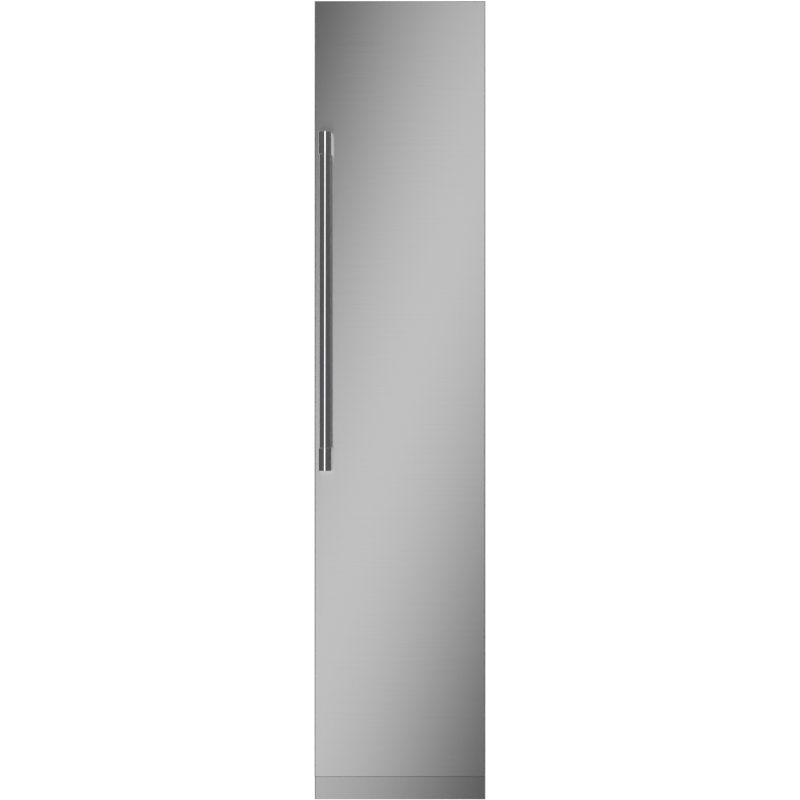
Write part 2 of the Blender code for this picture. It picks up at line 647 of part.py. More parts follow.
def condenser_group():
    """Condenser, its fan shroud, and the fan and motor on a strap inside the shroud."""
    left = -INSIDE_HALF + CONDENSER_LEFT_INSET
    right = INSIDE_HALF - CONDENSER_RIGHT_INSET
    middle = (left + right) / 2
    fan_radius = min(right - left, CONDENSER_HEIGHT) / 2 - BAY_FAN_EDGE
    front = CASE_FRONT_Y + CONDENSER_SETBACK
    rear = front + CONDENSER_DEPTH
    top = BAY_FLOOR + CONDENSER_HEIGHT
    finned_block("condenser", Vector((left, front, BAY_FLOOR)), Vector((right, rear, top)), BLACK_PAINT)
    shroud_front = rear + SEAT_GAP
    shroud_rear = shroud_front + SHROUD_DEPTH
    shroud = sheet_box("condenser_fan_shroud", (left, shroud_front, BAY_FLOOR),
                       (right, shroud_rear, top), SHROUD_SHEET, ("+Y",), GREY_PLASTIC)
    centre_z = (BAY_FLOOR + top) / 2
    cut(shroud, cylinder("shroud_opening", (middle, shroud_front, centre_z),
                         fan_radius + FAN_TIP_CLEARANCE, 2 * CUT_OVERRUN + SHROUD_SHEET, "Y", None, 40))
    motor_front = Vector((middle, shroud_rear - BAY_MOTOR_LENGTH - SEAT_GAP, centre_z))
    motor = motor_with_shaft("condenser_fan_motor", motor_front, BAY_MOTOR_RADIUS, BAY_MOTOR_LENGTH,
                             GREY_PAINT)
    strap_end = SHROUD_SHEET + SEAT_GAP
    strap_rear = motor_front.y + BAY_MOTOR_LENGTH / 2
    unite(motor, box("motor_strap", (middle - MOTOR_STRAP_WIDTH / 2,
                                     strap_rear - MOTOR_STRAP_THICKNESS, BAY_FLOOR + strap_end),
                     (middle + MOTOR_STRAP_WIDTH / 2, strap_rear, top - strap_end), None))
    fan_blade("condenser_fan_blade", fan_centre(motor_front), fan_radius, GREY_PLASTIC)


def fan_centre(motor_front):
    """The hub stands clear of its motor, so that the fan turns freely on the shaft."""
    return motor_front - Vector((0, FAN_HUB_DEPTH / 2 + FAN_MOTOR_CLEARANCE, 0))


def compressor_group():
    """Compressor can on a foot plate, which stands on the rubber blocks of its base."""
    centre = Vector((COMPRESSOR_X, BACK_Y - COMPRESSOR_REAR_INSET, BAY_FLOOR))
    half = COMPRESSOR_FOOT / 2
    plate_top = BAY_FLOOR + COMPRESSOR_FOOT_PLATE
    base = box("compressor_base", centre + Vector((-half, -half, 0)),
               centre + Vector((half, half, COMPRESSOR_FOOT_PLATE)), RUBBER)
    for index, (side, end) in enumerate(((-1, -1), (-1, 1), (1, -1), (1, 1))):
        spot = Vector((centre.x + side * (half - GROMMET_INSET), centre.y + end * (half - GROMMET_INSET),
                       plate_top + GROMMET_HEIGHT / 2 - SEAT_GAP))
        unite(base, cylinder(f"grommet_{index}", spot, GROMMET_RADIUS, GROMMET_HEIGHT, "Z", None, 16))
    foot_z = plate_top + GROMMET_HEIGHT
    can = cylinder("compressor", (centre.x, centre.y, foot_z + COMPRESSOR_HEIGHT / 2), COMPRESSOR_RADIUS,
                   COMPRESSOR_HEIGHT, "Z", BLACK_PAINT, 32)
    add_bevel(can, COMPRESSOR_EDGE, 4)
    unite(can, box("compressor_foot", (centre.x - half, centre.y - half, foot_z),
                   (centre.x + half, centre.y + half, foot_z + COMPRESSOR_FOOT_PLATE), None))


def services():
    """Drain pan, water valve and power inlet in the machine bay."""
    pan_rear = BACK_Y - DRAIN_PAN_REAR_INSET
    pan_right = COMPRESSOR_X - COMPRESSOR_FOOT / 2 - DRAIN_PAN_CLEARANCE
    sheet_box("drain_pan", (-INSIDE_HALF + DRAIN_PAN_LEFT_INSET, pan_rear - DRAIN_PAN_DEPTH, BAY_FLOOR),
              (pan_right, pan_rear, BAY_FLOOR + DRAIN_PAN_HEIGHT), DRAIN_PAN_WALL, ("+Z",), GREY_PLASTIC)
    cover_inside = BACK_Y - COVER_RECESS - CASE_SHEET - SEAT_GAP
    valve_x = -INSIDE_HALF + VALVE_LEFT_INSET
    valve = box("water_valve", (valve_x - VALVE_WIDTH / 2, cover_inside - VALVE_DEPTH, VALVE_Z),
                (valve_x + VALVE_WIDTH / 2, cover_inside, VALVE_Z + VALVE_HEIGHT),
                WHITE_PLASTIC, VALVE_EDGE)
    unite(valve, cylinder("valve_stub", (valve_x, cover_inside - VALVE_DEPTH / 2,
                                         VALVE_Z - VALVE_STUB_LENGTH / 2 + VALVE_STUB_RADIUS / 2),
                          VALVE_STUB_RADIUS, VALVE_STUB_LENGTH, "Z", None, 16))
    cover_outside = BACK_Y - COVER_RECESS + SEAT_GAP
    half_width, half_height = INLET_WIDTH / 2, INLET_HEIGHT / 2
    flange = box("power_inlet", (INLET_X - half_width - INLET_FLANGE, cover_outside,
                                 INLET_Z - half_height - INLET_FLANGE / 2),
                 (INLET_X + half_width + INLET_FLANGE, cover_outside + INLET_FLANGE_THICKNESS,
                  INLET_Z + half_height + INLET_FLANGE / 2), GREY_PLASTIC)
    unite(flange, box("inlet_body", (INLET_X - half_width, cover_outside - INLET_DEPTH,
                                     INLET_Z - half_height),
                      (INLET_X + half_width, cover_outside + INLET_FLANGE_THICKNESS / 2,
                       INLET_Z + half_height), None))
    cut(flange, box("inlet_socket", (INLET_X - half_width + INLET_WALL,
                                     cover_outside - INLET_DEPTH + INLET_WALL,
                                     INLET_Z - half_height + INLET_WALL),
                    (INLET_X + half_width - INLET_WALL, BACK_Y + CUT_OVERRUN,
                     INLET_Z + half_height - INLET_WALL), None))


def cold_group():
    """Evaporator and its fan in the rear chamber, behind a cover with air slots."""
    half = CAVITY_HALF - SEAT_GAP
    floor = CAVITY_FLOOR + SEAT_GAP
    top = CAVITY_TOP - SEAT_GAP
    cover = box("evaporator_cover", (-half, COLD_COVER_Y, floor), (half, COLD_COVER_REAR_Y, top),
                WHITE_PLASTIC)
    fan_z = SHELF_ICE_Z - COLD_FAN_DROP
    cut(cover, cylinder("cold_fan_outlet", (0, COLD_COVER_Y, fan_z), COLD_FAN_RADIUS + FAN_TIP_CLEARANCE,
                        2 * CUT_OVERRUN + COLD_COVER_THICKNESS, "Y", None, 32))
    rows = []
    for row in range(COLD_SLOT_COUNT):
        for start in (floor + COLD_COVER_BORDER, top - COLD_COVER_BORDER - COLD_SLOT_COUNT * COLD_SLOT_PITCH):
            low_z = start + row * COLD_SLOT_PITCH
            rows.append(((-half + COLD_COVER_BORDER * 2, COLD_COVER_Y - CUT_OVERRUN, low_z),
                         (half - COLD_COVER_BORDER * 2, COLD_COVER_REAR_Y + CUT_OVERRUN, low_z + COLD_SLOT)))
    cut(cover, boxes("cold_slots", rows))
    rear = CAVITY_BACK - SEAT_GAP
    coil_z = CAVITY_FLOOR + EVAPORATOR_RISE
    coil_half = CAVITY_HALF - EVAPORATOR_SIDE_INSET
    finned_block("evaporator", Vector((-coil_half, rear - EVAPORATOR_DEPTH, coil_z)),
                 Vector((coil_half, rear, coil_z + EVAPORATOR_HEIGHT)), FIN_ALUMINIUM)
    motor_front = Vector((0, rear - COLD_MOTOR_LENGTH, fan_z))
    motor_with_shaft("evaporator_fan_motor", motor_front, COLD_MOTOR_RADIUS, COLD_MOTOR_LENGTH, GREY_PAINT)
    fan_blade("evaporator_fan_blade", fan_centre(motor_front), COLD_FAN_RADIUS, WHITE_PLASTIC)


def shelves():
    """Glass shelves: the lower one on the drawer rails, the others on the liner's ledges."""
    half = CAVITY_HALF - SEAT_GAP
    for label, height in (("lower", SHELF_LOWER_Z), ("upper", SHELF_UPPER_Z), ("ice", SHELF_ICE_Z)):
        box(f"shelf_{label}", (-half, STORAGE_FRONT_Y, height + SEAT_GAP),
            (half, COLD_COVER_Y - SEAT_GAP, height + SEAT_GAP + SHELF_THICKNESS), GLASS)


def pull_out(name, bottom, height, finish, runners):
    """Open-topped drawer with a finger grip in its front, and side runners where asked."""
    half = DRAWER_WIDTH / 2
    rear = COLD_COVER_Y - DRAWER_BACK_CLEARANCE
    top = bottom + height
    tray = sheet_box(name, (-half, STORAGE_FRONT_Y + DRAWER_FRONT / 2, bottom), (half, rear, top),
                     DRAWER_WALL, ("+Z",), finish)
    unite(tray, box(f"{name}_face", (-half, STORAGE_FRONT_Y, bottom),
                    (half, STORAGE_FRONT_Y + DRAWER_FRONT, top), None))
    grip_half = DRAWER_GRIP_WIDTH / 2
    cut(tray, box(f"{name}_grip", (-grip_half, STORAGE_FRONT_Y - CUT_OVERRUN, top - DRAWER_GRIP_DEPTH),
                  (grip_half, STORAGE_FRONT_Y + DRAWER_FRONT + DRAWER_WALL + CUT_OVERRUN,
                   top + CUT_OVERRUN), None))
    if runners:
        for label, side in (("left", -1), ("right", 1)):
            inner, outer = side * (half - DRAWER_WALL / 2), side * (half + RUNNER_WIDTH)
            unite(tray, box(f"{name}_runner_{label}",
                            (min(inner, outer), STORAGE_FRONT_Y + RUNNER_SETBACK, top - RUNNER_THICKNESS),
                            (max(inner, outer), rear, top), None))
    return tray


def drawer_group():
    """Two freezer drawers and the side rails whose ledges carry their runners."""
    pitch = DRAWER_HEIGHT + DRAWER_SPACING
    first = CAVITY_FLOOR + DRAWER_SPACING / 2
    bottoms = (("lower", first), ("upper", first + pitch))
    for label, bottom in bottoms:
        pull_out(f"drawer_{label}", bottom, DRAWER_HEIGHT, CLEAR_PLASTIC, True)
    face = DRAWER_WIDTH / 2 + RUNNER_WIDTH + RAIL_CLEARANCE
    ledge_face = DRAWER_WIDTH / 2 + RAIL_CLEARANCE
    front = STORAGE_FRONT_Y + RUNNER_SETBACK
    rear = COLD_COVER_Y - SEAT_GAP
    for side_label, side in (("left", -1), ("right", 1)):
        outer = side * (CAVITY_HALF - SEAT_GAP)
        rail = box(f"drawer_rail_{side_label}", (min(side * face, outer), front, CAVITY_FLOOR + SEAT_GAP),
                   (max(side * face, outer), rear, DRAWER_TOP_LIMIT), WHITE_PLASTIC)
        for label, bottom in bottoms:
            ledge_top = bottom + DRAWER_HEIGHT - RUNNER_THICKNESS - SEAT_GAP
            inner, root = side * ledge_face, side * (face + RAIL_CLEARANCE)
            unite(rail, box(f"rail_ledge_{side_label}_{label}",
                            (min(inner, root), front, ledge_top - RAIL_LEDGE),
                            (max(inner, root), rear, ledge_top), None))


def ice_maker():
    """Ice maker on the left wall: control head and half-round mould in one moulding."""
    wall = -CAVITY_HALF + SEAT_GAP
    mold_right = MOLD_AXIS_X + MOLD_RADIUS + MOLD_WALL
    bottom = MOLD_AXIS_Z - MOLD_RADIUS - MOLD_FLOOR
    head_rear = ICE_HEAD_FRONT_Y + ICE_HEAD_DEPTH
    body = box("ice_maker_body", (wall, ICE_HEAD_FRONT_Y, bottom),
               (mold_right, head_rear, MOLD_AXIS_Z + ICE_HEAD_RISE), WHITE_PLASTIC)
    unite(body, box("mold_block", (wall, head_rear - MOLD_WALL, bottom),
                    (mold_right, head_rear + MOLD_LENGTH, MOLD_AXIS_Z), None))
    pivot_z = MOLD_AXIS_Z - FEELER_DROP
    unite(body, box("feeler_bearing", (mold_right - MOLD_WALL, head_rear - FEELER_BEARING_LENGTH,
                                       pivot_z - FEELER_BEARING),
                    (mold_right + FEELER_OFFSET + FEELER_BEARING, head_rear, pivot_z + FEELER_BEARING), None))
    trough_length = MOLD_LENGTH - 2 * MOLD_WALL
    trough_middle = (MOLD_AXIS_X, head_rear + MOLD_LENGTH / 2, MOLD_AXIS_Z)
    cut(body, cylinder("mold_trough", trough_middle, MOLD_RADIUS, trough_length, "Y", None, 24))
    seat_radius = EJECTOR_SHAFT_RADIUS + SEAT_GAP
    seat_length = MOLD_LENGTH - EJECTOR_END_CLEARANCE + CUT_OVERRUN
    cut(body, cylinder("ejector_seat", (MOLD_AXIS_X, head_rear + MOLD_LENGTH / 2, MOLD_AXIS_Z), seat_radius,
                       seat_length, "Y", None, 16))
    shaft_length = seat_length - 2 * SEAT_GAP
    ejector = cylinder("ice_ejector", trough_middle, EJECTOR_SHAFT_RADIUS, shaft_length, "Y",
                       GREY_PLASTIC, 16)
    pitch = trough_length / EJECTOR_FINGER_COUNT
    for index in range(EJECTOR_FINGER_COUNT):
        middle_y = trough_middle[1] - trough_length / 2 + (index + 0.5) * pitch
        unite(ejector, box(f"finger_{index}",
                           (MOLD_AXIS_X, middle_y - EJECTOR_FINGER_WIDTH / 2,
                            MOLD_AXIS_Z - EJECTOR_FINGER_THICKNESS / 2),
                           (MOLD_AXIS_X + EJECTOR_FINGER_LENGTH, middle_y + EJECTOR_FINGER_WIDTH / 2,
                            MOLD_AXIS_Z + EJECTOR_FINGER_THICKNESS / 2), None))
    lift_fingers(ejector)


def lift_fingers(ejector):
    """At rest the fingers point straight up, out of the mould."""
    for modifier in ejector.modifiers:
        if modifier.object.name.startswith("finger"):
            finger = modifier.object
            set_origin(finger, Vector((MOLD_AXIS_X, finger.location.y, MOLD_AXIS_Z)))
            finger.data.transform(Matrix.Rotation(-math.pi / 2, 4, "Y"))


def feeler_arm():
    """Wire that feels the ice level: it pivots at the control head and lies over the ice bin."""
    pivot = Vector((MOLD_AXIS_X + MOLD_RADIUS + MOLD_WALL + FEELER_OFFSET,
                    ICE_HEAD_FRONT_Y + ICE_HEAD_DEPTH + SEAT_GAP, MOLD_AXIS_Z - FEELER_DROP))
    slope = math.radians(FEELER_SLOPE_DEGREES)
    reach = Vector((FEELER_REACH * math.cos(slope), 0, -FEELER_REACH * math.sin(slope)))
    stub = Vector((0, FEELER_STUB, 0))
    run = Vector((0, FEELER_LENGTH, 0))
    route = (Vector((0, 0, 0)), stub, stub + reach, stub + reach + run)
    curve = bpy.data.curves.new("ice_feeler_arm", "CURVE")
    curve.dimensions = "3D"
    curve.bevel_depth = FEELER_RADIUS
    curve.bevel_resolution = 2
    curve.use_fill_caps = True
    spline = curve.splines.new("POLY")
    spline.points.add(len(route) - 1)
    for point, place in zip(spline.points, route):
        point.co = (*place, 1.0)
    curve.materials.append(material(BRIGHT_STEEL))
    arm = bpy.data.objects.new("ice_feeler_arm", curve)
    arm.location = pivot
    parts.objects.link(arm)
    return arm


def control_group():
    """Control panel under the liner's ceiling, with its push buttons in round pockets."""
    front = CASE_FRONT_Y + CONTROL_SETBACK
    top = CAVITY_TOP - SEAT_GAP
    panel = box("control_panel", (-CONTROL_WIDTH / 2, front, top - CONTROL_HEIGHT),
                (CONTROL_WIDTH / 2, front + CONTROL_DEPTH, top), GREY_PLASTIC)
    middle_z = top - CONTROL_HEIGHT / 2
    pocket = BUTTON_LENGTH - BUTTON_PROUD + BUTTON_TRAVEL + SEAT_GAP
    for label, side in (("power", BUTTON_POWER_X), ("temperature", BUTTON_TEMPERATURE_X)):
        pocket_middle = front + (pocket - CUT_OVERRUN) / 2
        cut(panel, cylinder(f"pocket_{label}", (side, pocket_middle, middle_z), BUTTON_RADIUS + SEAT_GAP,
                            pocket + CUT_OVERRUN, "Y", None, 24))
        cylinder(f"button_{label}", (side, front - BUTTON_PROUD + BUTTON_LENGTH / 2, middle_z),
                 BUTTON_RADIUS, BUTTON_LENGTH, "Y", WHITE_PLASTIC, 24)


def light_bars():
    front = CASE_FRONT_Y + LIGHT_SETBACK
    for label, side in (("left", -1), ("right", 1)):
        outer = side * (CAVITY_HALF - SEAT_GAP)
        inner = outer - side * LIGHT_THICKNESS
        box(f"light_bar_{label}", (min(outer, inner), front, SHELF_LOWER_Z + LIGHT_RISE),
            (max(outer, inner), front + LIGHT_WIDTH, CAVITY_TOP - LIGHT_TOP_INSET), LIGHT_COVER)


def hinge_bracket(label, plate_low, boss_end):
    """Hinge plate on the cabinet, with an arm and a round knuckle at the door's pin."""
    plate_high = plate_low + HINGE_PLATE
    base_front = CASE_FRONT_Y + BASE_FRONT_INSET
    bracket = box(f"hinge_bracket_{label}", (HINGE_X - HINGE_PLATE_WIDTH, base_front, plate_low),
                  (HINGE_X, base_front + HINGE_SEAT_DEPTH, plate_high), CAST_METAL)
    unite(bracket, box(f"hinge_arm_{label}", (HINGE_X - HINGE_ARM_WIDTH, HINGE_Y, plate_low),
                       (HINGE_X, base_front + HINGE_SEAT_DEPTH / 2, plate_high), None))
    middle = Vector((HINGE_X, HINGE_Y, (plate_low + plate_high) / 2))
    unite(bracket, cylinder(f"knuckle_{label}", middle, HINGE_KNUCKLE_RADIUS, HINGE_PLATE, "Z", None, 24))
    low, high = min(plate_low, boss_end), max(plate_high, boss_end)
    if boss_end > plate_high or boss_end < plate_low:
        unite(bracket, cylinder(f"boss_{label}", (HINGE_X, HINGE_Y, (low + high) / 2), HINGE_BOSS_RADIUS,
                                high - low, "Z", None, 24))
    cut(bracket, cylinder(f"pin_hole_{label}", (HINGE_X, HINGE_Y, (low + high) / 2),
                          PIN_RADIUS + SEAT_GAP, high - low + 2 * CUT_OVERRUN, "Z", None, 24))
    return bracket


def hinge_pin(label, seat, tip):
    """Headed pin: its head lies on the bracket's outer side at seat, its end is in the door."""
    outward = 1 if seat > tip else -1
    head_end = seat + outward * PIN_HEAD_HEIGHT
    pin = cylinder(f"hinge_pin_{label}", (HINGE_X, HINGE_Y, (head_end + tip) / 2), PIN_RADIUS,
                   abs(head_end - tip), "Z", BRIGHT_STEEL, 24)
    unite(pin, cylinder(f"pin_head_{label}", (HINGE_X, HINGE_Y, seat + outward * PIN_HEAD_HEIGHT / 2),
                        PIN_HEAD_RADIUS, PIN_HEAD_HEIGHT, "Z", None, 24))
    return pin


def hinges():
    top_plate = CASE_TOP + SEAT_GAP
    hinge_bracket("top", top_plate, CORE_TOP + SEAT_GAP)
    hinge_pin("top", top_plate + HINGE_PLATE + SEAT_GAP, CORE_TOP - PIN_DOOR_DEPTH)
    hinge_bracket("bottom", BAY_FLOOR, CORE_BOTTOM - SEAT_GAP)
    hinge_pin("bottom", BAY_FLOOR - SEAT_GAP, CORE_BOTTOM + PIN_DOOR_DEPTH)


def door_group():
    """The door: folded steel skin over a foamed core, with liner, gasket, bins and handle."""
    half = UNIT_WIDTH / 2
    skin = sheet_box("door_panel", (-half, DOOR_FRONT_Y, DOOR_BOTTOM), (half, PANEL_REAR_Y, UNIT_HEIGHT),
                     SKIN_SHEET, ("+Y",), STEEL, SKIN_EDGE_RADIUS)
    inside = SKIN_SHEET + SEAT_GAP
    core = box("door_core", (-half + CORE_SIDE_INSET, PANEL_REAR_Y, CORE_BOTTOM),
               (half - CORE_SIDE_INSET, CORE_REAR_Y, CORE_TOP), GREY_PAINT)
    front_block = box("core_front", (-half + inside, DOOR_FRONT_Y + inside, DOOR_BOTTOM + inside),
                      (half - inside, PANEL_REAR_Y + SEAT_GAP, UNIT_HEIGHT - inside), None)
    add_bevel(front_block, SKIN_EDGE_RADIUS - SKIN_SHEET, 2)
    unite(core, front_block)
    for label, end, inward in (("top", CORE_TOP, -1), ("bottom", CORE_BOTTOM, 1)):
        depth = PIN_DOOR_DEPTH + SEAT_GAP + CUT_OVERRUN
        middle = end + inward * (depth / 2 - CUT_OVERRUN)
        cut(core, cylinder(f"pin_bore_{label}", (HINGE_X, HINGE_Y, middle), PIN_RADIUS + SEAT_GAP, depth,
                           "Z", None, 24))
    liner_half = CAVITY_HALF - DOOR_LINER_INSET
    door_liner = sheet_box("door_liner", (-liner_half, CORE_REAR_Y + SEAT_GAP,
                                          CAVITY_FLOOR + DOOR_LINER_INSET),
                           (liner_half, DOOR_LINER_REAR_Y, CAVITY_TOP - DOOR_LINER_INSET),
                           DOOR_LINER_WALL, ("-Y",), WHITE_PLASTIC)
    outer = CAVITY_HALF + GASKET_OUTSET
    inner = outer - GASKET_WIDTH
    gasket = box("door_gasket", (-outer, CORE_REAR_Y + SEAT_GAP, CAVITY_FLOOR - GASKET_OUTSET),
                 (outer, CASE_FRONT_Y - SEAT_GAP, CAVITY_TOP + GASKET_OUTSET), RUBBER)
    inset = GASKET_OUTSET - GASKET_WIDTH
    cut(gasket, box("gasket_opening", (-inner, CORE_REAR_Y - CUT_OVERRUN, CAVITY_FLOOR - inset),
                    (inner, CASE_FRONT_Y + CUT_OVERRUN, CAVITY_TOP + inset), None))
    door_pieces = [skin, core, door_liner, gasket, *door_bins(), *handle()]
    pivot = bpy.data.objects.new("door_pivot", None)
    pivot.location = (HINGE_X, HINGE_Y, 0)
    parts.objects.link(pivot)
    for piece in door_pieces:
        piece.parent = pivot
        piece.location = piece.location - pivot.location


def door_bins():
    """Bins on the door liner, which clear the drawers and the liner's walls as the door swings."""
    front = DOOR_LINER_REAR_Y + SEAT_GAP
    rear = STORAGE_FRONT_Y - BIN_CLEARANCE
    half = DRAWER_WIDTH / 2
    first = CAVITY_FLOOR + BIN_FIRST_RISE
    spacing = (CAVITY_TOP - BIN_TOP_SPACE - first) / (BIN_COUNT - 1)
    bottoms = [first + index * spacing for index in range(BIN_COUNT)]
    return [sheet_box(f"door_bin_{index}", (-half, front, bottom), (half, rear, bottom + BIN_HEIGHT),
                      BIN_WALL, ("+Z",), CLEAR_PLASTIC) for index, bottom in enumerate(bottoms, 1)]


def handle():
    """Tube handle: each end casting has a round front, and holds the bar's spigot."""
    bottom_end = HANDLE_BOTTOM + HANDLE_END_LENGTH
    top_end = HANDLE_BOTTOM + HANDLE_LENGTH - HANDLE_END_LENGTH
    bar_low, bar_high = bottom_end + SEAT_GAP, top_end - SEAT_GAP
    spigot_low, spigot_high = bar_low - HANDLE_SPIGOT_LENGTH, bar_high + HANDLE_SPIGOT_LENGTH
    profile = ((0, spigot_high), (HANDLE_SPIGOT_RADIUS, spigot_high), (HANDLE_SPIGOT_RADIUS, bar_high),
               (HANDLE_BAR_RADIUS, bar_high), (HANDLE_BAR_RADIUS, bar_low),
               (HANDLE_SPIGOT_RADIUS, bar_low), (HANDLE_SPIGOT_RADIUS, spigot_low), (0, spigot_low))
    bar = turned("handle_bar", profile, (HANDLE_X, HANDLE_Y, 0), STEEL, 40)
    pieces = [bar]
    for label, low, spigot_end in (("bottom", HANDLE_BOTTOM, bottom_end), ("top", top_end, top_end)):
        middle_z = low + HANDLE_END_LENGTH / 2
        casting = cylinder(f"handle_end_{label}", (HANDLE_X, HANDLE_Y, middle_z), HANDLE_END_RADIUS,
                           HANDLE_END_LENGTH, "Z", BRIGHT_STEEL, 40)
        post = box(f"handle_post_{label}", (HANDLE_X - HANDLE_END_RADIUS, HANDLE_Y, low),
                   (HANDLE_X + HANDLE_END_RADIUS, DOOR_FRONT_Y - SEAT_GAP, low + HANDLE_END_LENGTH), None)
        unite(casting, post)
        bore_length = 2 * (HANDLE_SPIGOT_LENGTH + SEAT_GAP)
        cut(casting, cylinder(f"spigot_bore_{label}", (HANDLE_X, HANDLE_Y, spigot_end),
                              HANDLE_SPIGOT_RADIUS + SEAT_GAP, bore_length, "Z", None, 40))
        pieces.append(casting)
    return pieces


cabinet()
liner()
front_frame()
base_frame()
bay_panels()
feet()
rollers()
toe_kick()
condenser_group()
compressor_group()
services()
cold_group()
shelves()
drawer_group()
pull_out("ice_bin", SHELF_ICE_Z + SHELF_THICKNESS + 2 * SEAT_GAP, ICE_BIN_HEIGHT, CLEAR_PLASTIC, False)
ice_maker()
feeler_arm()
control_group()
light_bars()
hinges()
door_group()
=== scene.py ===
import math

import bmesh
import bpy
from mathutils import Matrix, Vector


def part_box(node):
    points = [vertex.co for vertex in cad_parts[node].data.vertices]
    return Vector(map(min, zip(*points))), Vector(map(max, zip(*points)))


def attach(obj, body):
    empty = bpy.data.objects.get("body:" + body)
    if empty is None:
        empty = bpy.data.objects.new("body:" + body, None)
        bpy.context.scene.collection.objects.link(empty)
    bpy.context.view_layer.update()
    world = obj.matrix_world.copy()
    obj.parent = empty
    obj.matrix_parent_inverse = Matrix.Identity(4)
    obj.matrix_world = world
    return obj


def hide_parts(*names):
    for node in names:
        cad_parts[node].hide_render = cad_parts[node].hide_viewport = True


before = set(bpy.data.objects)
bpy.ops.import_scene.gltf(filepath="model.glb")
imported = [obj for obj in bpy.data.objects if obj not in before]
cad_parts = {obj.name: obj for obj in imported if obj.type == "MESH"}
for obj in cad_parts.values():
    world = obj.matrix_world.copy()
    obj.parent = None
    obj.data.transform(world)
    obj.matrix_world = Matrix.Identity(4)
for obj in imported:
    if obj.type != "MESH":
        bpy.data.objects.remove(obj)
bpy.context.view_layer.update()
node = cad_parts

# Camera, floor and studio light
# The unit is seen from straight in front and a little to its right. Everything round it is white, and
# one large soft light behind the camera lies across the steel as a slanted band.
CAMERA_X, CAMERA_Z, CAMERA_DISTANCE, SENSOR_WIDTH = 0.214, 1.121, 5.9, 36.0
FRAME_WIDTH, FRAME_MIDDLE_Z, FAR_END = 2.136, 1.0681, 60.0
DOOR_FACE_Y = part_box("door_panel")[0].y
FLOOR_SIZE, WHITE, PAPER = 30, 1.1, (0.8, 0.8, 0.8, 1)
SCREEN_SIZE, SCREEN_DISTANCE = (2.16, 9.4), 3.9
BAND_X, BAND_Z, BAND_LEAN, BAND_HALF = -0.141, 1.035, 0.33, 1.1
SCREEN_EVEN, SCREEN_REACH, SCREEN_DROP = 1.9, 4.5, 0.35

scene = bpy.context.scene
scene.view_settings.view_transform = "Standard"
scene.view_settings.look = "None"
scene.view_settings.exposure = 0.0
scene.view_settings.gamma = 1.0

eye = bpy.data.cameras.new("camera")
eye.sensor_width = SENSOR_WIDTH
eye.lens = SENSOR_WIDTH * CAMERA_DISTANCE / FRAME_WIDTH
eye.shift_x = -CAMERA_X / FRAME_WIDTH
eye.shift_y = (FRAME_MIDDLE_Z - CAMERA_Z) / FRAME_WIDTH
eye.clip_end = FAR_END
camera = bpy.data.objects.new("camera", eye)
camera.location = (CAMERA_X, DOOR_FACE_Y - CAMERA_DISTANCE, CAMERA_Z)
camera.rotation_euler = (math.pi / 2, 0, 0)
scene.collection.objects.link(camera)
scene.camera = camera


def add_node(tree, kind, settings=None, inputs=None):
    """Add one node, set its properties, and set or link its inputs. A node links by its first output."""
    made = tree.nodes.new(kind)
    for name, value in (settings or {}).items():
        setattr(made, name, value)
    for name, value in (inputs or {}).items():
        value = value.outputs[0] if isinstance(value, bpy.types.Node) else value
        if isinstance(value, bpy.types.NodeSocket):
            tree.links.new(value, made.inputs[name])
        else:
            made.inputs[name].default_value = value
    return made


def place_stops(ramp_node, stops):
    """Place a colour ramp's stops, each a position with a grey or a colour."""
    ramp = ramp_node.color_ramp
    while len(ramp.elements) < len(stops):
        ramp.elements.new(0.5)
    for element, (position, value) in zip(ramp.elements, stops):
        element.position = position
        element.color = value if isinstance(value, tuple) else (value, value, value, 1)


# The room is dark along the level of the eye, so that the handle has the photograph's dark sides. Above
# and below that level, and behind the unit, it is bright, which lights the steel in the other views.
ROOM_DARK, ROOM_BRIGHT = 0.085, 0.95
LEVEL_END, HIGH_START, FRONT_END, SIDE_START, SIDE_END, BACK_START = 0.14, 0.27, 0.20, 0.36, 0.78, 0.92
SOFT_LOW, SOFT_HIGH, SOFT_START, SOFT_END = 0.38, 0.80, -0.4, 0.8
EASE = {"interpolation_type": "SMOOTHSTEP"}

world = bpy.data.worlds.new("studio")
scene.world = world
world.use_nodes = True
tree = world.node_tree
tree.nodes.clear()
rays = add_node(tree, "ShaderNodeLightPath")
way = add_node(tree, "ShaderNodeTexCoord")
axes = add_node(tree, "ShaderNodeSeparateXYZ", inputs={0: way.outputs["Generated"]})
slope = add_node(tree, "ShaderNodeMath", {"operation": "ABSOLUTE"}, {0: axes.outputs["Z"]})
steep = add_node(tree, "ShaderNodeMapRange", EASE, {"Value": slope, "From Min": LEVEL_END,
                                                    "From Max": HIGH_START})
aside = add_node(tree, "ShaderNodeMath", {"operation": "ABSOLUTE"}, {0: axes.outputs["X"]})
aside = add_node(tree, "ShaderNodeMath", {"operation": "MAXIMUM"}, {0: aside, 1: axes.outputs["Y"]})
wide = add_node(tree, "ShaderNodeMapRange", EASE, {"Value": aside, "From Min": FRONT_END,
                                                   "From Max": SIDE_START})
bright = add_node(tree, "ShaderNodeMath", {"operation": "MULTIPLY"}, {0: steep, 1: wide})
behind = add_node(tree, "ShaderNodeMapRange", EASE, {"Value": axes.outputs["Y"], "From Min": SIDE_END,
                                                     "From Max": BACK_START})
bright = add_node(tree, "ShaderNodeMath", {"operation": "MAXIMUM"}, {0: bright, 1: behind})
gloss = add_node(tree, "ShaderNodeMath", {"operation": "MULTIPLY_ADD"}, {0: bright, 1: ROOM_BRIGHT,
                                                                         2: ROOM_DARK})
rise = add_node(tree, "ShaderNodeMapRange", EASE, {"Value": axes.outputs["Z"], "From Min": SOFT_START,
                                                   "From Max": SOFT_END, "To Min": SOFT_LOW,
                                                   "To Max": SOFT_HIGH})
white, mirrored, soft = (
    add_node(tree, "ShaderNodeBackground", inputs={"Color": (1, 1, 1, 1), "Strength": strength})
    for strength in (WHITE, gloss, rise))
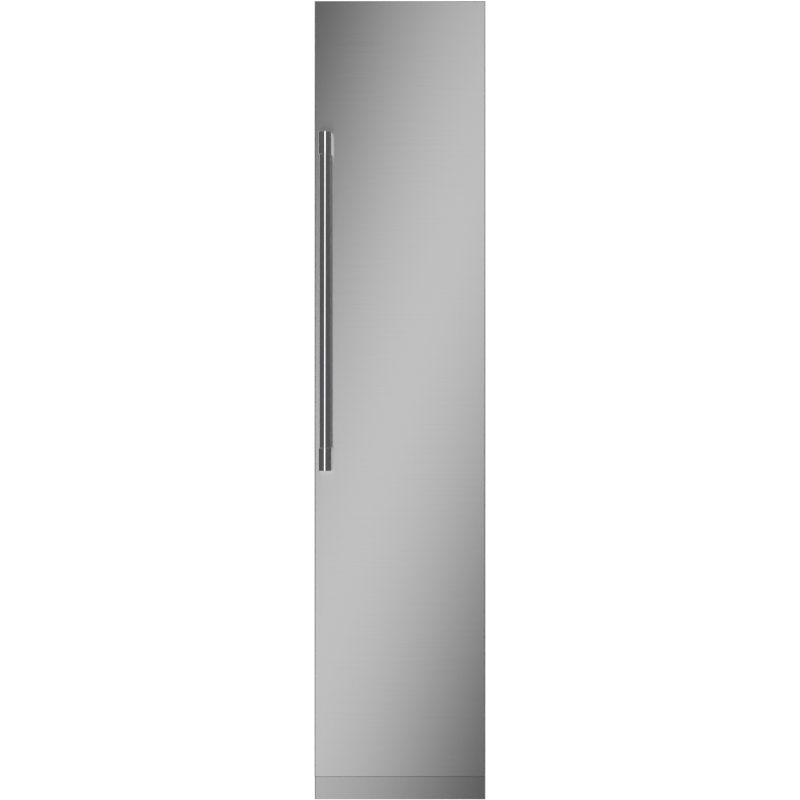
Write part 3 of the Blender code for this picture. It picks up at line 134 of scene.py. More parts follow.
lit = add_node(tree, "ShaderNodeMixShader", inputs={0: rays.outputs["Is Glossy Ray"], 1: soft, 2: mirrored})
straight = add_node(tree, "ShaderNodeMath", {"operation": "MAXIMUM"},
                    {0: rays.outputs["Is Camera Ray"], 1: rays.outputs["Is Transmission Ray"]})
seen = add_node(tree, "ShaderNodeMixShader", inputs={0: straight, 1: lit, 2: white})
add_node(tree, "ShaderNodeOutputWorld", inputs={"Surface": seen})

# Two wide, soft lamps shape the painted and moulded parts. Polished and brushed steel don't mirror them.
LAMP_ANGLE = 38

for name, toward, strength in (("key_lamp", (-0.55, 0.75, -0.85), 1.25),
                               ("rear_lamp", (0.65, -0.70, -0.75), 0.95)):
    lamp = bpy.data.lights.new(name, "SUN")
    lamp.energy = strength
    lamp.angle = math.radians(LAMP_ANGLE)
    stand = bpy.data.objects.new(name, lamp)
    stand.rotation_euler = Vector(toward).to_track_quat("-Z", "Y").to_euler()
    stand.visible_glossy = False
    scene.collection.objects.link(stand)


def stage_material(piece, name):
    """Give a piece of the stage an empty node material, and return its tree."""
    made = bpy.data.materials.new(name)
    made.use_nodes = True
    made.node_tree.nodes.clear()
    piece.data.materials.append(made)
    return made.node_tree


bpy.ops.object.select_all(action="DESELECT")
bpy.ops.mesh.primitive_plane_add(size=FLOOR_SIZE, location=(0, 0, 0))
floor = bpy.context.object
floor.name = "studio_floor"
floor.visible_glossy = False
tree = stage_material(floor, "white_paper")
rays = add_node(tree, "ShaderNodeLightPath")
lit = add_node(tree, "ShaderNodeBsdfDiffuse", inputs={"Color": PAPER})
glow = add_node(tree, "ShaderNodeEmission", inputs={"Color": (1, 1, 1, 1), "Strength": WHITE})
seen = add_node(tree, "ShaderNodeMixShader", inputs={0: rays.outputs["Is Camera Ray"], 1: lit, 2: glow})
add_node(tree, "ShaderNodeOutputMaterial", inputs={"Surface": seen})

# The screen of light is brightest along a line that leans to the right as it rises.
bpy.ops.mesh.primitive_plane_add(size=1, location=(BAND_X, DOOR_FACE_Y - SCREEN_DISTANCE, BAND_Z),
                                 rotation=(math.pi / 2, math.atan(BAND_LEAN), 0))
screen = bpy.context.object
screen.name = "light_screen"
screen.scale = (*SCREEN_SIZE, 1)
screen.visible_camera = False
tree = stage_material(screen, "light_screen")
point = add_node(tree, "ShaderNodeNewGeometry")
axes = add_node(tree, "ShaderNodeSeparateXYZ", inputs={0: point.outputs["Position"]})
rise = add_node(tree, "ShaderNodeMath", {"operation": "SUBTRACT"}, {0: axes.outputs["Z"], 1: BAND_Z})
across = add_node(tree, "ShaderNodeMath", {"operation": "MULTIPLY_ADD"},
                  {0: rise, 1: -BAND_LEAN, 2: axes.outputs["X"]})
aside = add_node(tree, "ShaderNodeMapRange", inputs={"Value": across, "From Min": BAND_X - BAND_HALF,
                                                     "From Max": BAND_X + BAND_HALF})
band = add_node(tree, "ShaderNodeValToRGB", inputs={0: aside})
half = ((0.0, 0.10), (0.068, 0.10), (0.136, 0.28), (0.205, 0.71), (0.273, 1.05), (0.332, 1.24),
        (0.391, 1.43), (0.445, 1.63), (0.5, 1.72))
place_stops(band, half + tuple((1 - position, value) for position, value in reversed(half[:-1])))
height = add_node(tree, "ShaderNodeMath", {"operation": "ADD"}, {0: rise, 1: SCREEN_DROP})
height = add_node(tree, "ShaderNodeMath", {"operation": "ABSOLUTE"}, {0: height})
ends = add_node(tree, "ShaderNodeMapRange", EASE, {"Value": height, "From Min": SCREEN_EVEN,
                                                   "From Max": SCREEN_REACH, "To Min": 1.0, "To Max": 0.0})
light = add_node(tree, "ShaderNodeEmission", inputs={"Color": band, "Strength": ends})
add_node(tree, "ShaderNodeOutputMaterial", inputs={"Surface": light})

# Door skin
# One sheet of stainless steel, brushed across its width and folded back round all four sides of the
# door with a small radius. The brushing draws the studio light out upwards and downwards.
SKIN_RADIUS, SEAM_RADIUS, SKIN_SHEET = 0.0028, 0.0006, 0.0012
BRUSH_LINE, BRUSH_LENGTH, SHADE_LOW, SHADE_HIGH, GRAIN_LOW, GRAIN_HIGH = 3.2, 220, 0.975, 1.025, 0.3, 0.7

# The noise of a grain lies mostly between GRAIN_LOW and GRAIN_HIGH, where its two shades are laid. A place
# passes a test within NEAR. A direction runs along an axis if its share of it is over MOST, and across it
# if that is under LITTLE.
NEAR, MOST, LITTLE = 0.0001, 0.9, 0.1


def hex_colour(code):
    """Turn an sRGB hex code into linear red, green, blue and alpha."""
    parts = [int(code[index:index + 2], 16) / 255 for index in (1, 3, 5)]
    return (*(value / 12.92 if value <= 0.04045 else ((value + 0.055) / 1.055) ** 2.4
              for value in parts), 1.0)


def new_finish(name, colour, roughness, metallic=0.0, more=None):
    """Start a finish: a Principled material with its colour, roughness, metallic and other inputs set."""
    made = bpy.data.materials.new(name)
    made.use_nodes = True
    values = {"Base Color": hex_colour(colour), "Roughness": roughness, "Metallic": metallic, **(more or {})}
    for label, value in values.items():
        made.node_tree.nodes["Principled BSDF"].inputs[label].default_value = value
    return made


def lay_grain(finish, spot, tones=(), relief=0.0, strength=0.3, detail=3.0, harshness=0.5, varies=()):
    """Lay a grain over a finish, with spots of a real size in millimetres, or with a size for each axis.
    It leads the colour between two tones, raises a relief in millimetres, and varies one input: varies
    holds the input's name, its least and its most, and where in the grain they lie if not at 0 and 1."""
    tree = finish.node_tree
    shader = tree.nodes["Principled BSDF"]
    place = add_node(tree, "ShaderNodeTexCoord").outputs["Object"]
    if isinstance(spot, tuple):
        scales = [1000 / size for size in spot]
        place = add_node(tree, "ShaderNodeMapping", inputs={"Vector": place, "Scale": scales})
        spot = 1000
    grain = add_node(tree, "ShaderNodeTexNoise", inputs={"Vector": place, "Scale": 1000 / spot,
                                                         "Detail": detail, "Roughness": harshness})
    if tones:
        shade = add_node(tree, "ShaderNodeValToRGB", inputs={0: grain})
        place_stops(shade, ((GRAIN_LOW, hex_colour(tones[0])), (GRAIN_HIGH, hex_colour(tones[1]))))
        tree.links.new(shade.outputs["Color"], shader.inputs["Base Color"])
    if relief:
        bump = add_node(tree, "ShaderNodeBump", inputs={"Strength": strength, "Distance": relief / 1000,
                                                        "Height": grain})
        tree.links.new(bump.outputs["Normal"], shader.inputs["Normal"])
    if varies:
        label, low, high, start, end = (*varies, 0.0, 1.0)[:5]
        spread = add_node(tree, "ShaderNodeMapRange", inputs={"Value": grain, "From Min": start,
                                                              "From Max": end, "To Min": low,
                                                              "To Max": high})
        tree.links.new(spread.outputs["Result"], shader.inputs[label])
    return grain


def let_go():
    """Leave edit mode, with nothing selected."""
    if bpy.context.mode != "OBJECT":
        bpy.ops.object.mode_set(mode="OBJECT")
    bpy.ops.object.select_all(action="DESELECT")


def hold(*pieces):
    """Select these pieces alone, with the first one active."""
    let_go()
    for piece in pieces:
        piece.select_set(True)
    bpy.context.view_layer.objects.active = pieces[0]


def open_piece(name, scale=(1, 1, 1)):
    """Name the primitive just added, put its place in its mesh, and open it for editing."""
    piece = bpy.context.object
    piece.name = piece.data.name = name
    piece.scale = scale
    bpy.ops.object.transform_apply(location=True, rotation=True, scale=True)
    bpy.ops.object.mode_set(mode="EDIT")
    bpy.ops.mesh.select_all(action="DESELECT")
    return piece


def start_block(name, low, high):
    """Add a block between two corners and open it for editing."""
    let_go()
    low, high = Vector(low), Vector(high)
    bpy.ops.mesh.primitive_cube_add(size=1, location=(low + high) / 2)
    return open_piece(name, high - low)


def pick(piece, kind, test):
    """Select the faces or edges whose middle and direction pass a test."""
    bpy.ops.mesh.select_mode(type=kind)
    bpy.ops.mesh.select_all(action="DESELECT")
    shape = bmesh.from_edit_mesh(piece.data)
    shape.normal_update()
    if kind == "FACE":
        for face in shape.faces:
            face.select_set(test(face.calc_center_median(), face.normal))
    else:
        for edge in shape.edges:
            start, end = (corner.co for corner in edge.verts)
            edge.select_set(test((start + end) / 2, (end - start).normalized()))
    bmesh.update_edit_mesh(piece.data)


def remove_faces(piece, test):
    """Delete the faces that pass a test, and leave the piece open there."""
    pick(piece, "FACE", test)
    bpy.ops.mesh.delete(type="FACE")


def round_edges(piece, test, radius, steps=3, profile=0.5):
    """Round the edges that pass a test."""
    pick(piece, "EDGE", test)
    bpy.ops.mesh.bevel(offset=radius, segments=steps, profile=profile)


def apply_modifier(piece, kind, **settings):
    """Give the piece a modifier with these settings and apply it."""
    hold(piece)
    step = piece.modifiers.new(kind.title(), kind)
    for name, value in settings.items():
        setattr(step, name, value)
    bpy.ops.object.modifier_apply(modifier=step.name)


def give_wall(piece, thickness):
    """Turn an open shape into sheet, with its outside where it was."""
    apply_modifier(piece, "SOLIDIFY", thickness=thickness, offset=-1.0, use_even_offset=True)


def finish_piece(piece, body, finish, replaced=(), smooth=30):
    """Close a piece: smooth shading, its finish, its body and the CAD nodes that it stands for."""
    hold(piece)
    bpy.ops.object.shade_smooth_by_angle(angle=math.radians(smooth))
    apply_modifier(piece, "WEIGHTED_NORMAL", mode="FACE_AREA", weight=50, keep_sharp=True)
    piece.data.materials.clear()
    piece.data.materials.append(finish)
    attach(piece, body)
    if replaced:
        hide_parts(*replaced)


def brushed_finish(name, colour):
    """Stainless steel, grade 304, brushed with a belt. Its fine level lines are drawn about 3 mm high,
    because the real ones, 0.05 mm, don't show at this size."""
    made = new_finish(name, colour, 0.20, 1.0, {"Anisotropic": 1.0, "Anisotropic Rotation": 0.25})
    grain = lay_grain(made, (BRUSH_LENGTH, BRUSH_LENGTH, BRUSH_LINE), harshness=0.6,
                      varies=("Roughness", 0.18, 0.22))
    tree = made.node_tree
    tone = add_node(tree, "ShaderNodeMapRange", inputs={"Value": grain, "From Min": GRAIN_LOW,
                                                        "From Max": GRAIN_HIGH, "To Min": SHADE_LOW,
                                                        "To Max": SHADE_HIGH})
    shade = add_node(tree, "ShaderNodeMix", {"data_type": "RGBA", "blend_type": "MULTIPLY"},
                     {"Factor": 1.0, "A": hex_colour(colour), "B": tone})
    tree.links.new(shade.outputs["Result"], tree.nodes["Principled BSDF"].inputs["Base Color"])
    return made


brushed_steel = brushed_finish("brushed_stainless", "#aaaaaa")
low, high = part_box("door_panel")
skin = start_block("door_skin", low, high)
remove_faces(skin, lambda middle, normal: normal.y > MOST)
round_edges(skin, lambda middle, along: middle.y < low.y + NEAR and middle.z < low.z + NEAR, SEAM_RADIUS)
round_edges(skin, lambda middle, along: middle.y < low.y + NEAR and middle.z > low.z + SEAM_RADIUS + NEAR,
            SKIN_RADIUS, 5)
give_wall(skin, SKIN_SHEET)
finish_piece(skin, "door", brushed_steel, ["door_panel"])

# Toe kick
# The same brushed sheet, a shade darker, folded like the door's skin. It hangs on the base frame under
# the door, and its upper and lower edges turn back a short way.
TOE_LIP, TOE_SHEET = 0.012, 0.0015

kick_steel = brushed_finish("brushed_stainless_kick", "#9f9f9f")
low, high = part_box("toe_kick")
kick = start_block("toe_panel", low, high)
remove_faces(kick, lambda middle, normal: normal.y > MOST)
round_edges(kick, lambda middle, along: middle.y < low.y + NEAR and middle.z > high.z - NEAR, SEAM_RADIUS)
round_edges(kick, lambda middle, along: middle.y < low.y + NEAR and abs(along.z) > MOST, SKIN_RADIUS, 5)
for side in (1, -1):
    pick(kick, "FACE", lambda middle, normal: normal.z * side > MOST)
    bpy.ops.mesh.bisect(plane_co=(0, low.y + TOE_LIP, 0), plane_no=(0, 1, 0))
    remove_faces(kick, lambda middle, normal: normal.z * side > MOST and middle.y > low.y + TOE_LIP)
give_wall(kick, TOE_SHEET)
finish_piece(kick, "cabinet", kick_steel, ["toe_kick"])

# Door handle
# A round steel tube between two cast ends, with a narrow neck where it meets them. Each end is round in
# front and flat at its sides, and stands on the door's skin with two hidden screws.
END_EDGE, END_FLAT, BAR_NECK, BAR_NECK_DEPTH, SEAT_GAP = 0.0003, 0.0001, 0.0004, 0.0005, 0.0003

# Polished stainless steel: dark where it faces the room, with one narrow bright line of light. The last
# strokes of the polishing run along the bar and barely show.
polished_steel = new_finish("polished_stainless", "#ffffff", 0.10, 1.0)
lay_grain(polished_steel, (1.11, 1.11, 143), detail=2.0, varies=("Roughness", 0.08, 0.12))


def start_round(name, sides, radius, length, middle, axis="Z"):
    """Add a round bar along an axis and open it for editing."""
    let_go()
    turn = {"X": (0, math.pi / 2, 0), "Y": (math.pi / 2, 0, 0), "Z": (0, 0, 0)}[axis]
    bpy.ops.mesh.primitive_cylinder_add(vertices=sides, radius=radius, depth=length, location=middle,
                                        rotation=turn)
    return open_piece(name)


def inset_faces(*steps, single=False):
    """Set the picked faces in step by step, each step by a width and a height, as one or singly."""
    for width, height in steps:
        bpy.ops.mesh.inset(thickness=width, depth=height, use_individual=single)


def push_faces(x, y, z):
    """Draw the picked faces out, or in, as one."""
    bpy.ops.mesh.extrude_region_move(TRANSFORM_OT_translate={"value": (x, y, z)})


def copy_piece(piece, name, shift, turn=(0, 0, 0), size=1.0):
    """Copy a piece to another place, with its own mesh."""
    let_go()
    twin = piece.copy()
    twin.data = piece.data.copy()
    twin.name = twin.data.name = name
    twin.location = shift
    twin.rotation_euler = turn
    twin.scale = (size, size, size)
    scene.collection.objects.link(twin)
    hold(twin)
    bpy.ops.object.transform_apply(location=True, rotation=True, scale=True)
    return twin


bar_low, bar_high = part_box("handle_bar")
end_low, end_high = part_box("handle_end_bottom")
top_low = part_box("handle_end_top")[0]
middle = (bar_low + bar_high) / 2
middle.z = (end_high.z + top_low.z) / 2
bar = start_round("handle_tube", 72, (bar_high.x - bar_low.x) / 2, top_low.z - end_high.z - 2 * SEAT_GAP,
                  middle)
for side in (1, -1):
    pick(bar, "FACE", lambda middle, normal: normal.z * side > MOST)
    bpy.ops.transform.translate(value=(0, 0, -side * BAR_NECK))
    inset_faces((BAR_NECK_DEPTH, 0))
    push_faces(0, 0, side * BAR_NECK)
finish_piece(bar, "door", polished_steel, ["handle_bar"])

lower_end = start_block("handle_end_low", end_low, end_high)
round_edges(lower_end, lambda middle, along: abs(along.z) > MOST and middle.y < end_low.y + NEAR,
            (end_high.x - end_low.x - END_FLAT) / 2, 36)
round_edges(lower_end, lambda middle, along: abs(along.z) < LITTLE and middle.y < end_high.y - END_EDGE,
            END_EDGE)
upper_end = copy_piece(lower_end, "handle_end_high", (0, 0, top_low.z - end_low.z))
finish_piece(lower_end, "door", polished_steel, ["handle_end_bottom"])
finish_piece(upper_end, "door", polished_steel, ["handle_end_top"])

# Door body
# Foam between the steel skin and the liner, wrapped at its edges in grey painted sheet, pressed in one
# piece with the hinge's bushed holes. The cabinet's front frame and base are of the same sheet.


def dress(finish, *names):
    """Give CAD nodes their finish."""
    for name in names:
        node[name].data.materials.clear()
        node[name].data.materials.append(finish)


# Grey powder paint, baked: a low gloss with fine orange peel.
grey_paint = new_finish("grey_powder_paint", "#8f9092", 0.42, more={"Coat Weight": 0.15})
lay_grain(grey_paint, 111, ("#8b8c8e", "#949597"))
lay_grain(grey_paint, 1.43, relief=0.2, strength=0.25, detail=2.0)
dress(grey_paint, "door_core", "front_frame", "base_frame")

# Door liner
# Vacuum-formed white polystyrene, clipped round the door's foam. A shallow recess between two upright
# ribs stiffens it, and the bins hang on the ribs.
LINER_MARGIN, LINER_RECESS, LINER_EDGE = 0.030, 0.003, 0.002

# High-impact polystyrene: white with a soft sheen, and a very slight ripple from the mould.
white_plastic = new_finish("white_polystyrene", "#eceeef", 0.33, more={
    "IOR": 1.59, "Subsurface Weight": 0.05, "Subsurface Radius": (0.004, 0.004, 0.004)})
lay_grain(white_plastic, 71.4, ("#e9ebec", "#eff1f2"), relief=1, strength=0.05, detail=1.0)
lay_grain(white_plastic, 1.11, detail=2.0, varies=("Roughness", 0.28, 0.38))

low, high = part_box("door_liner")
liner_sheet = start_block("door_liner_sheet", low, high)
pick(liner_sheet, "FACE", lambda middle, normal: normal.y > MOST)
inset_faces((LINER_MARGIN, 0))
push_faces(0, -LINER_RECESS, 0)
round_edges(liner_sheet, lambda middle, along: abs(along.y) < LITTLE and middle.y > low.y + NEAR, LINER_EDGE,
            profile=0.6)
finish_piece(liner_sheet, "door", white_plastic, ["door_liner"])

# Door gasket
# A soft grey vinyl ring with a magnet strip in its front bulb. Its folded sides pull out and press
# together like a bellows, and its four corners are welded.
GASKET_WIDTH, BELLOWS, BULB_EDGE, FOLD_SHARES = 0.018, 0.003, 0.0012, (0.2, 0.45, 0.7)

# Plasticised vinyl: dull and slightly leathery.
gasket_vinyl = new_finish("gasket_vinyl", "#a4a6a8", 0.55)
lay_grain(gasket_vinyl, 2.22, ("#9c9ea0", "#a9abad"), relief=0.3, strength=0.2)


def slice_piece(axis, place, **more):
    """Cut the whole piece across an axis."""
    normal = Vector((axis == "X", axis == "Y", axis == "Z"))
    bpy.ops.mesh.select_all(action="SELECT")
    bpy.ops.mesh.bisect(plane_co=normal * place, plane_no=normal, **more)


low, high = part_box("door_gasket")
centre_z = (low.z + high.z) / 2
folds = [low.y + (high.y - low.y) * share for share in FOLD_SHARES]
seal = start_block("magnetic_gasket", low, high)
pick(seal, "FACE", lambda middle, normal: abs(normal.y) > MOST)
inset_faces((GASKET_WIDTH, 0))
pick(seal, "FACE", lambda middle, normal: abs(normal.y) > MOST and abs(middle.x) < GASKET_WIDTH / 2
     and low.z + GASKET_WIDTH < middle.z < high.z - GASKET_WIDTH)
bpy.ops.mesh.bridge_edge_loops()
for fold in folds:
    slice_piece("Y", fold)
shape = bmesh.from_edit_mesh(seal.data)
for corner in shape.verts:
    if abs(corner.co.y - folds[1]) < NEAR:
        outside = (abs(corner.co.x) > high.x - NEAR
                   or abs(corner.co.z - centre_z) > high.z - centre_z - NEAR)
        sign = -1 if outside else 1
        corner.co.x += sign * math.copysign(BELLOWS, corner.co.x)
        corner.co.z += sign * math.copysign(BELLOWS, corner.co.z - centre_z)
bmesh.update_edit_mesh(seal.data)
round_edges(seal, lambda middle, along: middle.y > high.y - NEAR, BULB_EDGE)
finish_piece(seal, "door", gasket_vinyl, ["door_gasket"])

# Door bins
# Clear moulded polystyrene trays with round corners. The upper edge is turned out into a rim, and a
# satin aluminium rail is snapped over the rim on the side that faces the user.
BIN_CORNER, BIN_FOOT, BIN_WALL, BIN_LIP = 0.014, 0.006, 0.002, 0.0025
RAIL_HEIGHT, RAIL_WALL, RAIL_PROUD, RAIL_ROUND = 0.016, 0.0016, 0.0008, 0.00128
HOOK_HALF, HOOK_DROP, HOOK_EDGE, HAIR = 0.012, 0.030, 0.0009, 0.0001

# Clear polystyrene: glossy, with soft flow marks, and dulled in places by small scuffs.
clear_plastic = new_finish("clear_polystyrene", "#f2f7fa", 0.06, more={"IOR": 1.59,
                                                                       "Transmission Weight": 0.92})
lay_grain(clear_plastic, 45.5, relief=1, strength=0.08, detail=2.0)
lay_grain(clear_plastic, 3.85, detail=4.0, harshness=0.7, varies=("Roughness", 0.04, 0.16, 0.45, 0.75))

# Satin anodised aluminium, drawn and brushed along its length, so that its shine is drawn out across it.
satin_aluminium = new_finish("satin_anodised_aluminium", "#cfd1d3", 0.32, 1.0)
lay_grain(satin_aluminium, (167, 1.11, 1.11), detail=2.0, varies=("Roughness", 0.26, 0.40))


def round_tray(name, low, high, corner, foot, wall, lip=0.0):
    """An open tray: a block with round corners and a round foot, opened at the top and given a wall.
    Its upper edge can be turned out into a lip."""
    low, high = Vector(low) + Vector((lip, lip, 0)), Vector(high) - Vector((lip, lip, 0))
    tray = start_block(name, low, high)
    round_edges(tray, lambda middle, along: abs(along.z) > MOST, corner, 6)
    round_edges(tray, lambda middle, along: middle.z < low.z + NEAR and abs(along.z) < LITTLE, foot, 4)
    remove_faces(tray, lambda middle, normal: normal.z > MOST)
    if lip:
        pick(tray, "EDGE", lambda middle, along: middle.z > high.z - NEAR)
        bpy.ops.mesh.extrude_edges_move(TRANSFORM_OT_translate={"value": (0, 0, 0)})
        size = high - low
        bpy.ops.transform.resize(value=(1 + 2 * lip / size.x, 1 + 2 * lip / size.y, 1),
                                 center_override=(low + high) / 2)
    give_wall(tray, wall)
    return tray


def join_pieces(pieces):
    """Join pieces into the first one."""
    hold(*pieces)
    if len(pieces) > 1:
        bpy.ops.object.join()


low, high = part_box("door_bin_1")
tray = round_tray("bin_tray_1", low, high, BIN_CORNER, BIN_FOOT, BIN_WALL, BIN_LIP)
rail = start_block("bin_rail_1", (low.x + BIN_CORNER, high.y - BIN_LIP - BIN_WALL - RAIL_WALL,
                                  high.z - RAIL_HEIGHT),
                   (high.x - BIN_CORNER, high.y + RAIL_PROUD, high.z + RAIL_WALL))
pick(rail, "FACE", lambda middle, normal: normal.z < -MOST)
inset_faces((RAIL_WALL, 0))
push_faces(0, 0, RAIL_HEIGHT - RAIL_WALL)
round_edges(rail, lambda middle, along: middle.z > high.z and abs(along.x) > MOST, RAIL_ROUND)
rises = {index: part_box(f"door_bin_{index}")[0].z - low.z for index in (1, 2, 3, 4)}
for index in (2, 3, 4):
    finish_piece(copy_piece(tray, f"bin_tray_{index}", (0, 0, rises[index])), "door",
                 clear_plastic, [f"door_bin_{index}"])
    finish_piece(copy_piece(rail, f"bin_rail_{index}", (0, 0, rises[index])), "door",
                 satin_aluminium)
finish_piece(tray, "door", clear_plastic, ["door_bin_1"])
finish_piece(rail, "door", satin_aluminium)

# Moulded hooks on the liner's ribs carry each bin by its rear lip. The first one stays where it is, and
# the others are copies of it.
liner_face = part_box("door_liner")[1].y
hook_x = high.x - BIN_CORNER - HOOK_HALF
hook = start_block("bin_hooks", (-hook_x - HOOK_HALF, liner_face, high.z - HOOK_DROP),
                   (-hook_x + HOOK_HALF, low.y + BIN_LIP - HAIR, high.z - BIN_WALL))
round_edges(hook, lambda middle, along: middle.y > liner_face + NEAR, HOOK_EDGE, 2)
shifts = [(shift, 0, rise) for rise in rises.values() for shift in (0, 2 * hook_x)]
join_pieces([hook] + [copy_piece(hook, "bin_hook", shift) for shift in shifts[1:]])
finish_piece(hook, "door", white_plastic)

# Drawers and ice bin
# Clear moulded drawers with a thicker front. Runners on both sides of the two freezer drawers slide on
# the ledges of the side rails. Each front has a hand cut-out between two aluminium grip strips.
FRONT_WALL, DRAWER_CORNER, DRAWER_FOOT, DRAWER_WALL = 0.004, 0.010, 0.008, 0.0025
GRIP_HALF, GRIP_DEPTH, GRIP_CORNER = 0.055, 0.018, 0.008
STRIP_HEIGHT, STRIP_SHEET, STRIP_EDGE, STRIP_MARGIN = 0.010, 0.0010, 0.0004, 0.004
RUNNER_WIDTH, RUNNER_START, RUNNER_HEIGHT, RUNNER_EDGE = 0.008, 0.010, 0.004, 0.001


def make_drawer(name, body, replaced, runner):
    """One drawer with its front and its grip strips, and with runners if their width isn't nought."""
    low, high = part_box(replaced)
    left, right = low.x + runner, high.x - runner
    tray = start_block(name, (left, low.y + FRONT_WALL / 2, low.z), (right, high.y, high.z))
    round_edges(tray, lambda middle, along: abs(along.z) > MOST and middle.y > high.y - NEAR,
                DRAWER_CORNER, 5)
    round_edges(tray, lambda middle, along: middle.z < low.z + NEAR and abs(along.z) < LITTLE
                and middle.y > low.y + FRONT_WALL, DRAWER_FOOT, 4)
    remove_faces(tray, lambda middle, normal: normal.z > MOST or normal.y < -MOST)
    give_wall(tray, DRAWER_WALL)
    face = start_block(f"{name}_front", (left, low.y, low.z), (right, low.y + FRONT_WALL, high.z))
    slice_piece("X", -GRIP_HALF)
    slice_piece("X", GRIP_HALF)
    pick(face, "FACE", lambda middle, normal: normal.z > MOST and abs(middle.x) < GRIP_HALF)
    bpy.ops.transform.translate(value=(0, 0, -GRIP_DEPTH))
    round_edges(face, lambda middle, along: abs(along.y) > MOST and abs(abs(middle.x) - GRIP_HALF) < NEAR
                and middle.z < high.z - GRIP_DEPTH / 2, GRIP_CORNER, 4)
    finish_piece(face, body, clear_plastic)
    finish_piece(tray, body, clear_plastic, [replaced])
    if runner:
        bar = start_block(f"{name}_runner_left", (low.x, low.y + RUNNER_START, high.z - RUNNER_HEIGHT),
                          (left, high.y, high.z))
        round_edges(bar, lambda middle, along: abs(along.y) > MOST, RUNNER_EDGE, 2)
        twin = copy_piece(bar, f"{name}_runner_right", (right - low.x, 0, 0))
        for piece in (bar, twin):
            finish_piece(piece, body, white_plastic)
    strip_end = right - STRIP_MARGIN
    strip = start_block(f"{name}_strip_left", (-strip_end, low.y - STRIP_SHEET, high.z - STRIP_HEIGHT),
                        (-GRIP_HALF, low.y - HAIR, high.z - 2 * HAIR))
    round_edges(strip, lambda middle, along: middle.y < low.y - STRIP_SHEET / 2, STRIP_EDGE, 2)
    twin = copy_piece(strip, f"{name}_strip_right", (GRIP_HALF + strip_end, 0, 0))
    for piece in (strip, twin):
        finish_piece(piece, body, satin_aluminium)


make_drawer("lower_drawer_tray", "lower_drawer", "drawer_lower", RUNNER_WIDTH)
make_drawer("upper_drawer_tray", "upper_drawer", "drawer_upper", RUNNER_WIDTH)
make_drawer("ice_bin_tray", "ice_drawer", "ice_bin", 0.0)

# Glass shelves
# Tempered float glass with a slight green edge. A white moulded trim grips its front edge and holds
# it on the rails and ledges of the liner.
TRIM_DEPTH, TRIM_DROP, TRIM_WALL, TRIM_ROUND, GLASS_EDGE = 0.012, 0.004, 0.0015, 0.0025, 0.0006

# Float glass: clear and faintly green, with the smears that wiping leaves.
shelf_glass = new_finish("tempered_float_glass", "#e9f5f0", 0.02, more={"IOR": 1.52,
                                                                        "Transmission Weight": 0.95})
lay_grain(shelf_glass, 33.3, detail=5.0, harshness=0.7, varies=("Roughness", 0.01, 0.09, 0.5, 0.8))

for label in ("lower", "upper", "ice"):
    low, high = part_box(f"shelf_{label}")
    pane = start_block(f"glass_{label}", (low.x, low.y + TRIM_DEPTH / 2, low.z), high)
    round_edges(pane, lambda middle, along: True, GLASS_EDGE, 2)
    finish_piece(pane, "cabinet", shelf_glass, [f"shelf_{label}"])
    trim = start_block(f"shelf_trim_{label}", (low.x, low.y, low.z - TRIM_DROP),
                       (high.x, low.y + TRIM_DEPTH, high.z + HAIR))
    pick(trim, "FACE", lambda middle, normal: normal.y > MOST)
    inset_faces((TRIM_WALL, 0))
    push_faces(0, -TRIM_DEPTH / 2, 0)
    round_edges(trim, lambda middle, along: abs(along.x) > MOST and middle.y < low.y + NEAR, TRIM_ROUND, 4)
    finish_piece(trim, "cabinet", white_plastic)

# Liner and cold wall
# The liner is vacuum-formed in one piece from white polystyrene. Its rear wall is a moulded cover with
# slots for the cold air, and a round guard over the fan's outlet.
GUARD_RADIUS, GUARD_SHEET, GUARD_BARS, GUARD_RINGS, BAR_DEGREES = 0.062, 0.0016, 8, 4, 8
GUARD_RIM, GUARD_GAP, GUARD_WIRE = 0.004, 0.0085, 0.0028

dress(white_plastic, "inner_liner", "evaporator_cover", "drawer_rail_left", "drawer_rail_right")
low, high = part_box("evaporator_fan_blade")
outlet = Vector((0.0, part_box("evaporator_cover")[0].y - SEAT_GAP, (low.z + high.z) / 2))
let_go()
bpy.ops.mesh.primitive_circle_add(vertices=48, radius=GUARD_RADIUS, fill_type="NGON", location=outlet,
                                  rotation=(math.pi / 2, 0, 0))
guard = open_piece("fan_guard")
bpy.ops.mesh.select_all(action="SELECT")
inset_faces((GUARD_RIM, 0), *((GUARD_GAP, 0), (GUARD_WIRE, 0)) * GUARD_RINGS)


def in_opening(middle, normal):
    """True between two rings of the guard, where no straight bar crosses."""
    across, rise = middle.x - outlet.x, middle.z - outlet.z
    turn = math.degrees(math.atan2(rise, across)) % (360 / GUARD_BARS)
    inward = GUARD_RADIUS - GUARD_RIM - math.hypot(across, rise)
    pitch = GUARD_GAP + GUARD_WIRE
    return turn > BAR_DEGREES and 0 < inward < GUARD_RINGS * pitch and inward % pitch < GUARD_GAP


remove_faces(guard, in_opening)
apply_modifier(guard, "SOLIDIFY", thickness=GUARD_SHEET, offset=1.0)
finish_piece(guard, "cabinet", white_plastic)

# Light bars
# A strip of light-emitting diodes on each side wall, under a frosted polycarbonate cover that spreads
# its light, held between two end caps.
CAP_LENGTH, COVER_ROUND = 0.010, 0.0012

# Frosted polycarbonate: it glows evenly, a little brighter over each diode.
frosted_cover = new_finish("frosted_polycarbonate", "#f4f7fa", 0.55,
                           more={"IOR": 1.58, "Emission Color": hex_colour("#f3f8ff")})
lay_grain(frosted_cover, 16.7, detail=2.0, varies=("Emission Strength", 13.0, 15.0))

# Grey moulded ABS, with the fine grain of a spark-eroded mould.
grey_abs = new_finish("grey_abs", "#7d8083", 0.48, more={"IOR": 1.54})
lay_grain(grey_abs, 1.2, ("#787b7e", "#838689"), 0.2)

